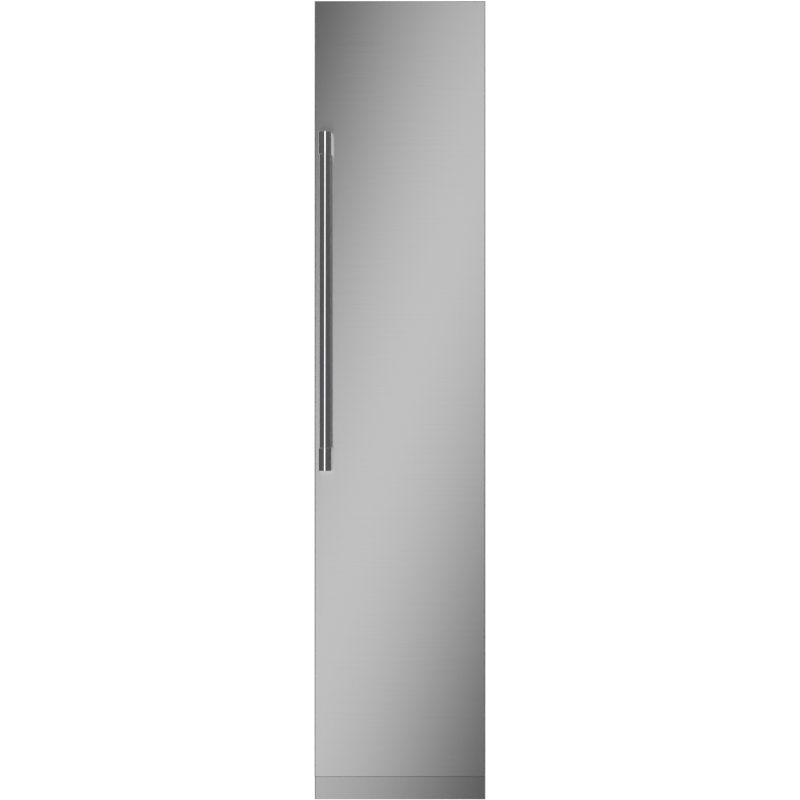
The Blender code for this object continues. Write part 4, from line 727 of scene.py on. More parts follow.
for label, side in (("left", 1), ("right", -1)):
    low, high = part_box(f"light_bar_{label}")
    centre = (low + high) / 2
    cover = start_block(f"light_cover_{label}", (low.x, low.y, low.z + CAP_LENGTH),
                        (high.x, high.y, high.z - CAP_LENGTH))
    round_edges(cover, lambda middle, along: abs(along.z) > MOST and (middle.x - centre.x) * side > NEAR,
                COVER_ROUND, 4)
    finish_piece(cover, "cabinet", frosted_cover, [f"light_bar_{label}"])
    cap = start_block(f"light_cap_{label}_low", low, (high.x, high.y, low.z + CAP_LENGTH))
    round_edges(cap, lambda middle, along: (middle.x - centre.x) * side > NEAR, COVER_ROUND)
    twin = copy_piece(cap, f"light_cap_{label}_high", (0, 0, high.z - low.z - CAP_LENGTH))
    for piece in (cap, twin):
        finish_piece(piece, "cabinet", grey_abs)

# Screws
# Zinc-plated steel screws, each with a pressed pan head and a cross recess. One is modelled, and each
# place gets a copy of it, turned to face outwards.
HEAD_RADIUS, HEAD_HEIGHT, HEAD_ROUND = 0.0038, 0.0022, 0.0011
CROSS_HALF, CROSS_ARM, CROSS_DEPTH = 0.0008, 0.00208, 0.0011
SCREW_TURNS = {"+Z": (0, 0, 0), "+Y": (-math.pi / 2, 0, 0), "-Y": (math.pi / 2, 0, 0),
               "+X": (0, math.pi / 2, 0), "-X": (0, -math.pi / 2, 0)}

# Zinc plate: a soft, slightly cloudy shine.
zinc_plate = new_finish("zinc_plated_steel", "#c4c6c6", 0.34, 0.8)
lay_grain(zinc_plate, 3, ("#bdbfbe", "#c9cbca"))

screw = start_round("screw", 24, HEAD_RADIUS, HEAD_HEIGHT, (0, 0, HEAD_HEIGHT / 2))
round_edges(screw, lambda middle, along: middle.z > HEAD_HEIGHT - NEAR, HEAD_ROUND)
for axis in "XY":
    for place in (CROSS_HALF, CROSS_ARM, -CROSS_HALF, -CROSS_ARM):
        slice_piece(axis, place)
pick(screw, "FACE", lambda middle, normal: normal.z > MOST
     and min(abs(middle.x), abs(middle.y)) < CROSS_HALF and max(abs(middle.x), abs(middle.y)) < CROSS_ARM)
push_faces(0, 0, -CROSS_DEPTH)


def put_screws(group, places, facing, size=1.0):
    """Copy the screw to each place, turned to face the given way, and join the copies into one piece."""
    copies = [copy_piece(screw, group, place, SCREW_TURNS[facing], size) for place in places]
    join_pieces(copies)
    finish_piece(copies[0], "cabinet", zinc_plate)


# Ice maker
# A die-cast aluminium mould with a coating, parted into crescent cells. A white control head at its
# front turns the ejector's fingers, and a cup at its rear end lets the water in.
CELL_COUNT, CELL_WALL, WALL_DROP, WALL_SINK = 6, 0.0015, 0.0055, 0.0005
SHAFT_RADIUS, SHAFT_SEAT, TROUGH_RADIUS = 0.005, 0.0053, 0.034
MOULD_REACH, MOULD_ROUND, MOULD_END = 0.042, 0.020, 0.008
HEAD_DEPTH, HEAD_EDGE, HEAD_MARGIN, HEAD_LINE, SCREW_INSET = 0.050, 0.003, 0.002, 0.0006, 0.012
BOSS_LENGTH, BOSS_DROP, BOSS_HALF = 0.012, 0.035, 0.008
CUP_WIDTH, CUP_DEPTH, CUP_CORNER, CUP_FOOT, CUP_WALL = 0.030, 0.034, 0.005, 0.002, 0.002

# Cast aluminium under its coating: a dull grey shine over a slightly grainy skin.
cast_aluminium = new_finish("coated_cast_aluminium", "#8d9092", 0.42, 0.7)
lay_grain(cast_aluminium, 1.6, ("#85888a", "#96999b"), 0.2)


def bore_hole(piece, sides, radius, length, middle):
    """Cut a round hole out of a piece, from front to back."""
    drill = start_round("drill", sides, radius, length, middle, "Y")
    apply_modifier(piece, "BOOLEAN", object=drill, operation="DIFFERENCE", solver="EXACT")
    bpy.data.objects.remove(drill, do_unlink=True)


low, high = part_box("ice_maker_body")
eject_low, eject_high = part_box("ice_ejector")
axis_x, axis_z = (eject_low.x + eject_high.x) / 2, eject_low.z + SHAFT_RADIUS
mould_right, head_rear = axis_x + MOULD_REACH, low.y + HEAD_DEPTH
trough = high.y - head_rear - 2 * MOULD_END
mould = start_block("ice_mould", (low.x, head_rear, low.z), (mould_right, high.y, axis_z))
round_edges(mould, lambda middle, along: abs(along.y) > MOST and middle.z < low.z + NEAR, MOULD_ROUND, 6)
mould_middle = (axis_x, (head_rear + high.y) / 2, axis_z)
bore_hole(mould, 48, TROUGH_RADIUS, trough, mould_middle)
bore_hole(mould, 48, SHAFT_SEAT, eject_high.y - eject_low.y + 2 * SEAT_GAP, mould_middle)
finish_piece(mould, "cabinet", cast_aluminium, ["ice_maker_body"])

pitch = trough / CELL_COUNT
wall = start_round("mould_wall_1", 48, TROUGH_RADIUS + WALL_SINK, CELL_WALL,
                   (axis_x, head_rear + MOULD_END + pitch, axis_z), "Y")
slice_piece("Z", axis_z - WALL_DROP, clear_outer=True, use_fill=True)
walls = [wall] + [copy_piece(wall, f"mould_wall_{index}", (0, (index - 1) * pitch, 0))
                  for index in range(2, CELL_COUNT)]
for piece in walls:
    finish_piece(piece, "cabinet", cast_aluminium)

head = start_block("ice_maker_head", low, (mould_right, head_rear - SEAT_GAP, high.z))
round_edges(head, lambda middle, along: middle.x > low.x + NEAR and middle.y < head_rear - HEAD_EDGE,
            HEAD_EDGE, 4)
pick(head, "FACE", lambda middle, normal: normal.y < -MOST)
inset_faces((HEAD_MARGIN, 0), (HEAD_LINE, 0))
finish_piece(head, "cabinet", white_plastic)
put_screws("ice_maker_screws", [(low.x + SCREW_INSET, low.y, low.z + SCREW_INSET),
                                (mould_right - SCREW_INSET, low.y, high.z - SCREW_INSET)], "-Y")
boss = start_block("feeler_boss", (mould_right - HEAD_EDGE, head_rear - BOSS_LENGTH,
                                   axis_z - BOSS_DROP - BOSS_HALF),
                   (high.x, head_rear - SEAT_GAP, axis_z - BOSS_DROP + BOSS_HALF))
round_edges(boss, lambda middle, along: middle.x > mould_right, HEAD_EDGE)
finish_piece(boss, "cabinet", white_plastic)
cup = round_tray("water_cup", (low.x, high.y - CUP_DEPTH, axis_z + SEAT_GAP),
                 (low.x + CUP_WIDTH, high.y, high.z), CUP_CORNER, CUP_FOOT, CUP_WALL)
finish_piece(cup, "cabinet", white_plastic)
dress(grey_abs, "ice_ejector")

# Ice feeler
# A bent stainless wire, electropolished: bright and even. It lifts with the ice and stops the maker
# when the bin is full. The hinge's pins are finished in the same way.
bright_wire = new_finish("electropolished_wire", "#d9dadb", 0.18, 1.0)
lay_grain(bright_wire, 6, ("#cfd0d1", "#e0e1e2"))
dress(bright_wire, "ice_feeler_arm", "hinge_pin_top", "hinge_pin_bottom")

# Control panel
# A grey moulded housing, clipped under the ceiling, with a black acrylic front. The front holds a
# two-digit display and two white push buttons.
PANEL_EDGE, FRONT_SHEET, FRONT_SEAT = 0.003, 0.0008, 0.001
FRONT_MARGIN, FRONT_CORNER, FRONT_LINE = 0.0015, 0.003, 0.0004
POCKET_GAP, POCKET_LENGTH, CAP_ROUND, DISH_RIM, DISH_SLOPE = 0.0004, 0.020, 0.0005, 0.0016, 0.0008
DIGIT_SIZE, DIGIT_HALF_DEPTH = 0.0182, 0.00005

# Black acrylic: deep and glossy, so that the unlit display can't be seen in it.
black_acrylic = new_finish("black_acrylic", "#101114", 0.08, more={"IOR": 1.49})
lay_grain(black_acrylic, 20, ("#0e0f12", "#141519"))

# Lit display: cool white figures that glow a little unevenly.
lit_digits = new_finish("lit_display", "#dff1ff", 0.4, more={"Emission Color": hex_colour("#d8efff")})
lay_grain(lit_digits, 1.11, detail=2.0, varies=("Emission Strength", 1.6, 2.4))

low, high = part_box("control_panel")
housing = start_block("control_housing", (low.x, low.y + FRONT_SHEET, low.z), high)
round_edges(housing, lambda middle, along: middle.z < high.z - NEAR and middle.y < high.y, PANEL_EDGE, 4)
front = start_block("control_front", (low.x + FRONT_MARGIN, low.y, low.z + FRONT_MARGIN),
                    (high.x - FRONT_MARGIN, low.y + FRONT_SHEET + FRONT_SEAT, high.z - FRONT_SEAT))
round_edges(front, lambda middle, along: abs(along.y) > MOST, FRONT_CORNER, 4)
pick(front, "FACE", lambda middle, normal: normal.y < -MOST)
inset_faces((FRONT_LINE, 0))
for label in ("power", "temperature"):
    cap_low, cap_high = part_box(f"button_{label}")
    centre = (cap_low + cap_high) / 2
    radius = (cap_high.x - cap_low.x) / 2
    for piece in (housing, front):
        bore_hole(piece, 40, radius + POCKET_GAP, POCKET_LENGTH, (centre.x, low.y, centre.z))
    cap = start_round(f"{label}_cap", 40, radius, cap_high.y - cap_low.y, centre, "Y")
    pick(cap, "FACE", lambda middle, normal: normal.y < -MOST)
    inset_faces((DISH_RIM, 0), (DISH_SLOPE, 0))
    bpy.ops.transform.translate(value=(0, CAP_ROUND, 0))
    round_edges(cap, lambda middle, along: middle.y < cap_low.y + NEAR
                and math.hypot(middle.x - centre.x, middle.z - centre.z) > radius - DISH_RIM / 2, CAP_ROUND)
    finish_piece(cap, f"{label}_button", white_plastic, [f"button_{label}"])
finish_piece(housing, "cabinet", grey_abs, ["control_panel"])
finish_piece(front, "cabinet", black_acrylic)

let_go()
bpy.ops.object.text_add(location=((low.x + high.x) / 2, low.y - HAIR, (low.z + high.z) / 2),
                        rotation=(math.pi / 2, 0, 0))
lettering = bpy.context.object.data
lettering.body = "-18"
lettering.size = DIGIT_SIZE
lettering.extrude = DIGIT_HALF_DEPTH
lettering.align_x = "CENTER"
lettering.align_y = "CENTER"
bpy.ops.object.convert(target="MESH")
digits = open_piece("display_digits")
finish_piece(digits, "cabinet", lit_digits)

# Case, back sheet and base
# The sides and top are one folded sheet of grey coated steel over polyurethane foam. The back is a
# zinc-coated sheet, pressed into three fields and screwed to the case's rear flanges.
CASE_FOLD, CASE_WALL, SCREW_EDGE = 0.004, 0.0015, 0.010
FIELDS, FIELD_DEPTH, FIELD_MARGIN, FIELD_SLOPE = 3, 0.0012, 0.022, 0.005
SCREW_ROWS, SCREW_SUNK, COVER_INSET, GRILLE_INSET, GRILLE_SCREW = 7, 0.98, 0.012, 0.010, 0.8
CRYSTAL = 6.06

# Coated steel: an even satin grey with the fine texture of a rolled coating.
coated_steel = new_finish("grey_coated_steel", "#a3a5a8", 0.40, 0.1)
lay_grain(coated_steel, 1.8, ("#9fa1a4", "#a7a9ac"), 0.15)

# Hot-dip galvanised steel: zinc crystals about 6 mm across, each with its own grey and gloss.
galvanised_steel = new_finish("galvanised_steel", "#9a9ea1", 0.42, 0.45)
tree = galvanised_steel.node_tree
place = add_node(tree, "ShaderNodeTexCoord")
crystals = add_node(tree, "ShaderNodeTexVoronoi", {"feature": "F1"},
                    {"Vector": place.outputs["Object"], "Scale": 1000 / CRYSTAL})
shade = add_node(tree, "ShaderNodeValToRGB", inputs={0: crystals.outputs["Color"]})
place_stops(shade, ((0.2, hex_colour("#989c9f")), (0.8, hex_colour("#a3a7a9"))))
matt = add_node(tree, "ShaderNodeMapRange", inputs={"Value": crystals.outputs["Color"], "To Min": 0.34,
                                                    "To Max": 0.50})
tree.links.new(shade.outputs["Color"], tree.nodes["Principled BSDF"].inputs["Base Color"])
tree.links.new(matt.outputs["Result"], tree.nodes["Principled BSDF"].inputs["Roughness"])

# Rigid polyurethane foam: cream, with open cells where it is cut.
rigid_foam = new_finish("polyurethane_foam", "#e3d3a4", 0.85)
lay_grain(rigid_foam, 2, ("#d9c896", "#eadcb2"), 0.6)

# Black baked enamel, slightly glossy, on the grille and the condenser.
black_enamel = new_finish("black_baked_enamel", "#1a1b1c", 0.38)
lay_grain(black_enamel, 1.2, ("#161718", "#212223"), 0.15)

dress(rigid_foam, "insulation_foam")
dress(galvanised_steel, "machine_deck", "machine_cover", "roller_bracket_left", "roller_bracket_right")
dress(black_enamel, "front_grille", "condenser")

low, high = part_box("case_shell")
case = start_block("case_sheet", low, high)
remove_faces(case, lambda middle, normal: abs(normal.y) > MOST or normal.z < -MOST)
round_edges(case, lambda middle, along: abs(along.y) > MOST and middle.z > high.z - NEAR, CASE_FOLD, 5)
give_wall(case, CASE_WALL)
finish_piece(case, "cabinet", coated_steel, ["case_shell"])

low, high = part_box("back_panel")
back = start_block("back_sheet", low, (high.x, high.y - FIELD_DEPTH, high.z))
for field in range(1, FIELDS):
    slice_piece("Z", low.z + field * (high.z - low.z) / FIELDS)
pick(back, "FACE", lambda middle, normal: normal.y > MOST)
inset_faces((FIELD_MARGIN, 0), (FIELD_SLOPE, FIELD_DEPTH), (FIELD_MARGIN, 0), (FIELD_SLOPE, -FIELD_DEPTH),
            single=True)
finish_piece(back, "cabinet", galvanised_steel, ["back_panel"], smooth=5)

row_pitch = (high.z - low.z - 2 * SCREW_EDGE) / (SCREW_ROWS - 1)
put_screws("back_screws", [(side * (high.x - SCREW_EDGE), high.y - FIELD_DEPTH,
                            low.z + SCREW_EDGE + row * row_pitch)
                           for row in range(SCREW_ROWS) for side in (-1, 1)],
           "+Y", FIELD_DEPTH / HEAD_HEIGHT * SCREW_SUNK)
low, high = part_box("machine_cover")
put_screws("cover_screws", [(side * (high.x - SCREW_EDGE), high.y, rise) for side in (-1, 1)
                            for rise in (low.z + COVER_INSET, (low.z + high.z) / 2, high.z - COVER_INSET)],
           "+Y")
low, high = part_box("front_grille")
put_screws("grille_screws", [(side * (high.x - SCREW_EDGE), low.y, rise) for side in (-1, 1)
                             for rise in (low.z + GRILLE_INSET, high.z - GRILLE_INSET)],
           "-Y", GRILLE_SCREW)

# Hinges
# Steel plates, stamped and zinc-plated, screwed to the case above and below the door. Headed pins in
# bushed holes of the door let it turn.
HINGE_PLACES, HINGE_INSET, HINGE_SCREW = (0.012, 0.036, 0.060), 0.010, 1.2

dress(zinc_plate, "hinge_bracket_top", "hinge_bracket_bottom")
low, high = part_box("hinge_bracket_top")
put_screws("hinge_screws_top", [(low.x + inward, high.y - HINGE_INSET, high.z) for inward in HINGE_PLACES],
           "+Z", HINGE_SCREW)

# Levelling feet
# A soft rubber pad is moulded over the end of a threaded steel stem, which a hexagonal nut locks in
# the base frame.
PAD_HEIGHT, PAD_EDGE, PAD_SHOULDER, PAD_NECK = 0.010, 0.0012, 0.006, 0.003
LOCK_RADIUS, LOCK_HEIGHT, LOCK_MIDDLE, LOCK_CHAMFER = 0.010, 0.012, 0.019, 0.0012
STEM_RADIUS, STEM_BASE, THREAD_START, THREAD_MARGIN = 0.005, 0.012, 0.026, 0.002
THREAD_PITCH, THREAD_DEPTH = 0.0025, 0.0006

# Rubber: nearly black and dull, with a fine grain.
black_rubber = new_finish("black_rubber", "#1c1c1d", 0.80)
lay_grain(black_rubber, 1.5, ("#171718", "#242425"), 0.3)

low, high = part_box("foot_left")
centre = (low + high) / 2
pad = start_round("foot_pad_left", 40, (high.x - low.x) / 2, PAD_HEIGHT, (centre.x, centre.y, PAD_HEIGHT / 2))
pick(pad, "FACE", lambda middle, normal: normal.z > MOST)
inset_faces((PAD_SHOULDER, 0))
push_faces(0, 0, PAD_NECK)
round_edges(pad, lambda middle, along: abs(along.z) < LITTLE, PAD_EDGE)
nut = start_round("foot_nut_left", 6, LOCK_RADIUS, LOCK_HEIGHT, (centre.x, centre.y, LOCK_MIDDLE))
round_edges(nut, lambda middle, along: abs(along.z) < LITTLE, LOCK_CHAMFER, 2, 0.6)
core = STEM_RADIUS - THREAD_DEPTH
stem = start_round("foot_stem_left", 24, core, high.z - STEM_BASE,
                   (centre.x, centre.y, (high.z + STEM_BASE) / 2))
for turn in range(int((high.z - THREAD_START - THREAD_MARGIN) / THREAD_PITCH) * 2):
    slice_piece("Z", THREAD_START + turn * THREAD_PITCH / 2)
pick(stem, "EDGE", lambda middle, along: abs(along.z) < LITTLE and THREAD_START < middle.z < high.z - NEAR
     and round((middle.z - THREAD_START) / (THREAD_PITCH / 2)) % 2 == 1)
bpy.ops.transform.resize(value=(STEM_RADIUS / core, STEM_RADIUS / core, 1), center_override=centre)
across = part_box("foot_right")[0] - low
for piece, slot, finish in ((pad, "rubber", black_rubber), (nut, "bright_steel", zinc_plate),
                            (stem, "bright_steel", zinc_plate)):
    twin = copy_piece(piece, piece.name.replace("left", "right"), across)
    finish_piece(piece, "left_foot", finish, ["foot_left"] if piece == pad else ())
    finish_piece(twin, "right_foot", finish, ["foot_right"] if piece == pad else ())

# Rear rollers
# Grey nylon rollers on steel axles, between the cheeks of brackets that are riveted to the base.
# Nylon is waxy: a soft shine over a fine moulded grain.
TYRE_EDGE, RIM_WIDTH, RIM_SLOPE, AXLE_HEAD, FLAT = 0.002, 0.004, 0.0008, 0.9, 0.99
WEB_WIDTH, HUB_SLOPE, HUB_RECESS = 0.0032, 0.0004, 0.003

grey_nylon = new_finish("grey_nylon", "#5f6265", 0.50)
lay_grain(grey_nylon, 1.4, ("#595c5f", "#686b6e"), 0.2)

low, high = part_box("rear_roller_left")
centre = (low + high) / 2
wheel = start_round("roller_left", 48, (high.z - low.z) / 2, high.x - low.x, centre, "X")
round_edges(wheel, lambda middle, along: abs(along.x) < LITTLE, TYRE_EDGE, 4)
for side in (-1, 1):
    pick(wheel, "FACE", lambda middle, normal: normal.x * side > FLAT and abs(middle.y - centre.y) < NEAR)
    inset_faces((RIM_WIDTH, 0), (RIM_SLOPE, -HUB_RECESS), (WEB_WIDTH, 0), (HUB_SLOPE, HUB_RECESS))
twin = copy_piece(wheel, "roller_right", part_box("rear_roller_right")[0] - low)
for label, piece in (("left", wheel), ("right", twin)):
    finish_piece(piece, f"{label}_roller", grey_nylon, [f"rear_roller_{label}"])
    low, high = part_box(f"roller_bracket_{label}")
    put_screws(f"axle_head_{label}_inner", [(low.x, centre.y, centre.z)], "-X", AXLE_HEAD)
    put_screws(f"axle_head_{label}_outer", [(high.x, centre.y, centre.z)], "+X", AXLE_HEAD)

# Condenser and its fan
# Black enamelled fins on a row of steel tubes, joined at each side by brazed return bends. A fan with
# swept blades draws the room's air through them inside a moulded shroud.
BEND_RADIUS, BEND_TUBE, BEND_LIFTS = 0.0125, 0.0042, (0.5, 0.75)
TIP_GAP, HUB_ROUND, HUB_RIM_SHARE, HUB_GROOVE, HUB_SINK = 0.0005, 0.004, 0.3, 0.001, 0.002
BLADE_SHEET, BLADE_PITCH, BLADE_TWIST, BLADE_PARTS = 0.0018, 32, -14, 7
BLADE_COVER, CORNER_SHARE = 0.62, 0.30

dress(grey_abs, "condenser_fan_shroud")


def return_bends(group, finish, block, rows, columns):
    """Half rings of tube at both sides of a finned block, modelled once and copied."""
    low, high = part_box(block)
    let_go()
    bpy.ops.mesh.primitive_torus_add(major_segments=24, minor_segments=12, major_radius=BEND_RADIUS,
                                     minor_radius=BEND_TUBE, rotation=(math.pi / 2, 0, 0))
    bend = open_piece("return_bend")
    slice_piece("X", 0, clear_inner=True, use_fill=True)
    row_step, column_step = (high.z - low.z) / (rows + 0.5), (high.y - low.y) / columns
    bends = [copy_piece(bend, group, (edge, low.y + (column + 0.5) * column_step,
                                      low.z + (row + lift) * row_step), (0, turn, 0))
             for edge, turn, lift in ((low.x, math.pi, BEND_LIFTS[0]), (high.x, 0, BEND_LIFTS[1]))
             for row in range(rows) for column in range(columns)]
    bpy.data.objects.remove(bend, do_unlink=True)
    join_pieces(bends)
    finish_piece(bends[0], "cabinet", finish)


return_bends("condenser_bends", black_enamel, "condenser", rows=4, columns=2)


def make_rotor(fan, finish, blades, hub_radius):
    """A moulded fan: a round-edged hub with twisted blades, inside the box of its CAD node's sweep."""
    low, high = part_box(f"{fan}_blade")
    motor_low, motor_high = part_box(f"{fan}_motor")
    middle = (motor_low + motor_high) / 2
    middle.y = (low.y + high.y) / 2
    tip = max(high.x - middle.x, high.z - middle.z, middle.z - low.z) - TIP_GAP
    root = hub_radius - HUB_SINK
    width = math.pi * (root + tip) / blades * BLADE_COVER
    hub = start_round(f"{fan}_rotor", 40, hub_radius, high.y - low.y - 2 * SEAT_GAP, middle, "Y")
    round_edges(hub, lambda edge, along: edge.y < middle.y and abs(along.y) < LITTLE, HUB_ROUND, 4)
    pick(hub, "FACE", lambda face, normal: normal.y < -MOST)
    inset_faces((hub_radius * HUB_RIM_SHARE, 0), (HUB_GROOVE, -HUB_SINK))
    blade = start_block("fan_blade", (root, -BLADE_SHEET / 2, -width / 2), (tip, BLADE_SHEET / 2, width / 2))
    for part in range(1, BLADE_PARTS):
        slice_piece("X", root + (tip - root) * part / BLADE_PARTS)
    round_edges(blade, lambda edge, along: abs(along.y) > MOST and edge.x > tip - NEAR,
                width * CORNER_SHARE, 5)
    apply_modifier(blade, "SIMPLE_DEFORM", deform_method="TWIST", deform_axis="X",
                   angle=math.radians(BLADE_TWIST))
    join_pieces([hub] + [copy_piece(blade, "fan_blade", middle, (math.radians(BLADE_PITCH),
                                                                 index * 2 * math.pi / blades, 0))
                         for index in range(blades)])
    bpy.data.objects.remove(blade, do_unlink=True)
    finish_piece(hub, fan, finish, [f"{fan}_blade"])


make_rotor("condenser_fan", grey_abs, blades=5, hub_radius=0.022)
make_rotor("evaporator_fan", white_plastic, blades=7, hub_radius=0.016)

# Fan motors: a can of painted steel with a plain rear cap. The paint is dark, with a low gloss.
dark_paint = new_finish("dark_grey_paint", "#3b3d40", 0.45)
lay_grain(dark_paint, 1.6, ("#36383b", "#424447"), 0.2)
dress(dark_paint, "condenser_fan_motor", "evaporator_fan_motor")

# Evaporator
# Bare aluminium fins on aluminium tubes, with return bends at both sides, in the chamber behind the
# cold wall. The metal is pale and slightly cloudy.
bare_aluminium = new_finish("bare_aluminium", "#cdd0d2", 0.36, 0.85)
lay_grain(bare_aluminium, 5, ("#c3c6c8", "#d6d8da"))
dress(bare_aluminium, "evaporator")
return_bends("evaporator_bends", bare_aluminium, "evaporator", rows=6, columns=1)

# Compressor
# Two deep-drawn steel shells, welded round the middle and enamelled black, on a foot plate with four
# rubber mounts. A plastic box covers the terminals, and copper tubes are brazed in.
PLATE_SHEET, PLATE_CORNER, BOLT_REACH, BOLT_SIZE = 0.003, 0.018, 0.062, 1.6
SHELL_RADIUS, SHELL_DOME, WELD_HEIGHT, WELD_PROUD = 0.066, 0.026, 0.006, 0.002
BOX_PROUD, BOX_HALF, BOX_DEPTH, BOX_DOWN, BOX_UP, BOX_ROUND = 0.008, 0.020, 0.030, 0.030, 0.026, 0.004

low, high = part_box("compressor")
centre = (low + high) / 2
plate_top = low.z + PLATE_SHEET
plate = start_block("compressor_foot", low, (high.x, high.y, plate_top))
round_edges(plate, lambda middle, along: abs(along.z) > MOST, PLATE_CORNER, 6)
finish_piece(plate, "cabinet", black_enamel, ["compressor"])
shell = start_round("compressor_shell", 64, SHELL_RADIUS, high.z - plate_top,
                    (centre.x, centre.y, (plate_top + high.z) / 2))
round_edges(shell, lambda middle, along: abs(along.z) < LITTLE, SHELL_DOME, 8)
slice_piece("Z", centre.z - WELD_HEIGHT / 2)
slice_piece("Z", centre.z + WELD_HEIGHT / 2)
pick(shell, "FACE", lambda middle, normal: abs(middle.z - centre.z) < WELD_HEIGHT / 2)
bpy.ops.mesh.extrude_region_shrink_fatten(TRANSFORM_OT_shrink_fatten={"value": WELD_PROUD})
finish_piece(shell, "cabinet", black_enamel)
box_front = centre.y - SHELL_RADIUS - BOX_PROUD
terminal = start_block("terminal_box", (centre.x - BOX_HALF, box_front, centre.z - BOX_DOWN),
                       (centre.x + BOX_HALF, box_front + BOX_DEPTH, centre.z + BOX_UP))
round_edges(terminal, lambda middle, along: middle.y < box_front + NEAR, BOX_ROUND, 4)
finish_piece(terminal, "cabinet", dark_paint)
dress(black_rubber, "compressor_base")
put_screws("compressor_bolts", [(centre.x + side * BOLT_REACH, centre.y + end * BOLT_REACH, plate_top)
                                for side in (-1, 1) for end in (-1, 1)], "+Z", BOLT_SIZE)

# Copper tubes, drawn and slightly tarnished, lead from the compressor to the condenser and the drier.
# Their points are given from the middle of the shell's top, and the first tube's last three from the
# condenser's rear corner and the middle of its side.
THIN_TUBE, WIDE_TUBE, ROUNDNESS, BEND_STEPS = 0.0032, 0.00384, 4, 6
OUT_OF_SHELL = ((-0.050, -0.030, -0.030), (-0.062, -0.045, -0.010), (-0.062, -0.120, 0.006))
PAST_CORNER, INTO_SIDE = (0.030, 0.060, 0.010), ((0.028, 0, 0.010), (-0.002, 0, 0.008))
SUCTION = ((0.030, 0.040, -0.014), (0.034, 0.046, 0.020), (0.030, 0.060, 0.040), (0.010, 0.090, 0.050),
           (-0.010, 0.095, 0.065))

copper = new_finish("drawn_copper", "#b8724f", 0.30, 1.0)
lay_grain(copper, 20, ("#a5623f", "#c9835e"))


def bend_tube(name, points, radius, finish):
    """A tube bent through the points: a curve with a round section, made a closed mesh."""
    line = bpy.data.curves.new(name, "CURVE")
    line.dimensions = "3D"
    line.bevel_depth = radius
    line.bevel_resolution = ROUNDNESS
    line.resolution_u = BEND_STEPS
    line.use_fill_caps = True
    spline = line.splines.new("NURBS")
    spline.points.add(len(points) - 1)
    for knot, point in zip(spline.points, points):
        knot.co = (*point, 1.0)
    spline.use_endpoint_u = True
    spline.order_u = 3
    tube = bpy.data.objects.new(name, line)
    scene.collection.objects.link(tube)
    hold(tube)
    bpy.ops.object.convert(target="MESH")
    finish_piece(bpy.context.object, "cabinet", finish)


cold_low, cold_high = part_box("condenser")
top = Vector((centre.x, centre.y, high.z))
corner = Vector((cold_high.x, cold_high.y, high.z))
side = Vector((cold_high.x, (cold_low.y + cold_high.y) / 2, high.z))
way = [top + Vector(step) for step in OUT_OF_SHELL]
way += [corner + Vector(PAST_CORNER)] + [side + Vector(step) for step in INTO_SIDE]
bend_tube("discharge_tube", way, THIN_TUBE, copper)
bend_tube("suction_tube", [top + Vector(step) for step in SUCTION], WIDE_TUBE, copper)

# Drain pan
# A shallow tray, moulded in grey ABS, that catches the defrost water. It lies in the machine bay, where
# the fan's warm air blows over it and dries it.
PAN_CORNER, PAN_FOOT, PAN_WALL = 0.012, 0.006, 0.002

pan = round_tray("drain_tray", *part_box("drain_pan"), PAN_CORNER, PAN_FOOT, PAN_WALL)
finish_piece(pan, "cabinet", grey_abs, ["drain_pan"])

# Water valve
# A moulded nylon body with a brass inlet nut below it. A coil in a blue jacket opens it when the ice
# maker needs water.
BODY_HEIGHT, BODY_EDGE, BELT_SHARES, BELT_INSET, VALVE_GAP = 0.038, 0.002, (0.3, 0.7), 0.0015, 0.0002
NUT_RADIUS, NUT_HEIGHT, NUT_CHAMFER, SPIGOT_WALL = 0.0085, 0.010, 0.001, 0.0025
COIL_RADIUS, COIL_LENGTH, COIL_ROUND = 0.011, 0.018, 0.002

# Machined brass: warm and bright. Natural nylon: ivory and waxy. The coil's jacket: a matt blue moulding.
brass = new_finish("machined_brass", "#c9a658", 0.28, 1.0)
lay_grain(brass, 6, ("#bd9a4e", "#d4b468"))
natural_nylon = new_finish("natural_nylon", "#bdb9ab", 0.50)
lay_grain(natural_nylon, 1.4, ("#b5b1a3", "#c4c0b3"), 0.2)
blue_coil = new_finish("blue_moulded_coil", "#2f5f8f", 0.45)
lay_grain(blue_coil, 1.5, ("#2b5985", "#36689a"), 0.2)

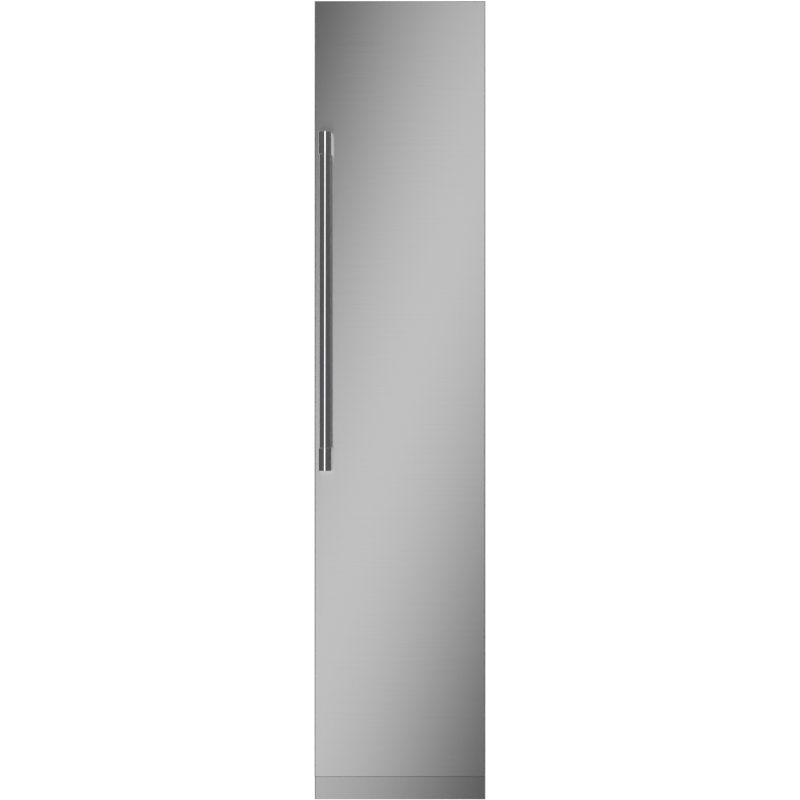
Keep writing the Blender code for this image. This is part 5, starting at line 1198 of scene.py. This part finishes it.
low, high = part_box("water_valve")
middle_x, middle_y = (low.x + high.x) / 2, (low.y + high.y) / 2
body_low = high.z - BODY_HEIGHT
body_middle = high.z - BODY_HEIGHT / 2
valve = start_block("valve_body", (low.x, low.y, body_low), high)
round_edges(valve, lambda middle, along: abs(along.z) > MOST or middle.z > high.z - NEAR, BODY_EDGE)
for share in BELT_SHARES:
    slice_piece("Z", body_low + share * BODY_HEIGHT)
pick(valve, "FACE", lambda middle, normal: abs(normal.z) < LITTLE
     and abs(middle.z - body_middle) < (0.5 - BELT_SHARES[0]) * BODY_HEIGHT)
inset_faces((BELT_INSET, -BELT_INSET))
finish_piece(valve, "cabinet", natural_nylon, ["water_valve"])
nut_low = body_low - VALVE_GAP - NUT_HEIGHT
nut = start_round("valve_nut", 6, NUT_RADIUS, NUT_HEIGHT, (middle_x, middle_y, nut_low + NUT_HEIGHT / 2))
round_edges(nut, lambda middle, along: abs(along.z) < LITTLE, NUT_CHAMFER, 2)
pick(nut, "FACE", lambda middle, normal: normal.z < -MOST)
inset_faces((SPIGOT_WALL, 0))
push_faces(0, 0, low.z - nut_low)
finish_piece(nut, "cabinet", brass)
coil = start_round("valve_coil", 32, COIL_RADIUS, COIL_LENGTH,
                   (middle_x, low.y - VALVE_GAP - COIL_LENGTH / 2, body_middle), "Y")
round_edges(coil, lambda middle, along: abs(along.y) < LITTLE, COIL_ROUND)
finish_piece(coil, "cabinet", blue_coil)

# Power inlet
# A black moulded appliance inlet, snapped into the rear cover, with three plated pins in its socket.
# The nylon is black with a low gloss and a fine grain.
PIN_LENGTH, PIN_WIDTH, PIN_HEIGHT, PIN_ROUND, SOCKET_FLOOR = 0.016, 0.002, 0.0055, 0.0007, 0.0022
PIN_PLACES = ((-0.007, -0.002), (0.0, 0.002), (0.007, -0.002))

black_nylon = new_finish("black_nylon", "#202123", 0.42)
lay_grain(black_nylon, 1.2, ("#1c1d1f", "#27282a"), 0.2)
dress(black_nylon, "power_inlet")
low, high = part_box("power_inlet")
centre = (low + high) / 2
half = Vector((PIN_WIDTH / 2, 0, PIN_HEIGHT / 2))
for index, (aside, rise) in enumerate(PIN_PLACES):
    root = Vector((centre.x + aside, low.y + SOCKET_FLOOR, centre.z + rise))
    pin = start_block(f"inlet_pin_{index + 1}", root - half, root + half + Vector((0, PIN_LENGTH, 0)))
    round_edges(pin, lambda middle, along: middle.y > low.y + PIN_LENGTH, PIN_ROUND, 2)
    finish_piece(pin, "cabinet", zinc_plate)

# The screw that was copied to all places is no piece itself.
bpy.data.objects.remove(screw, do_unlink=True)
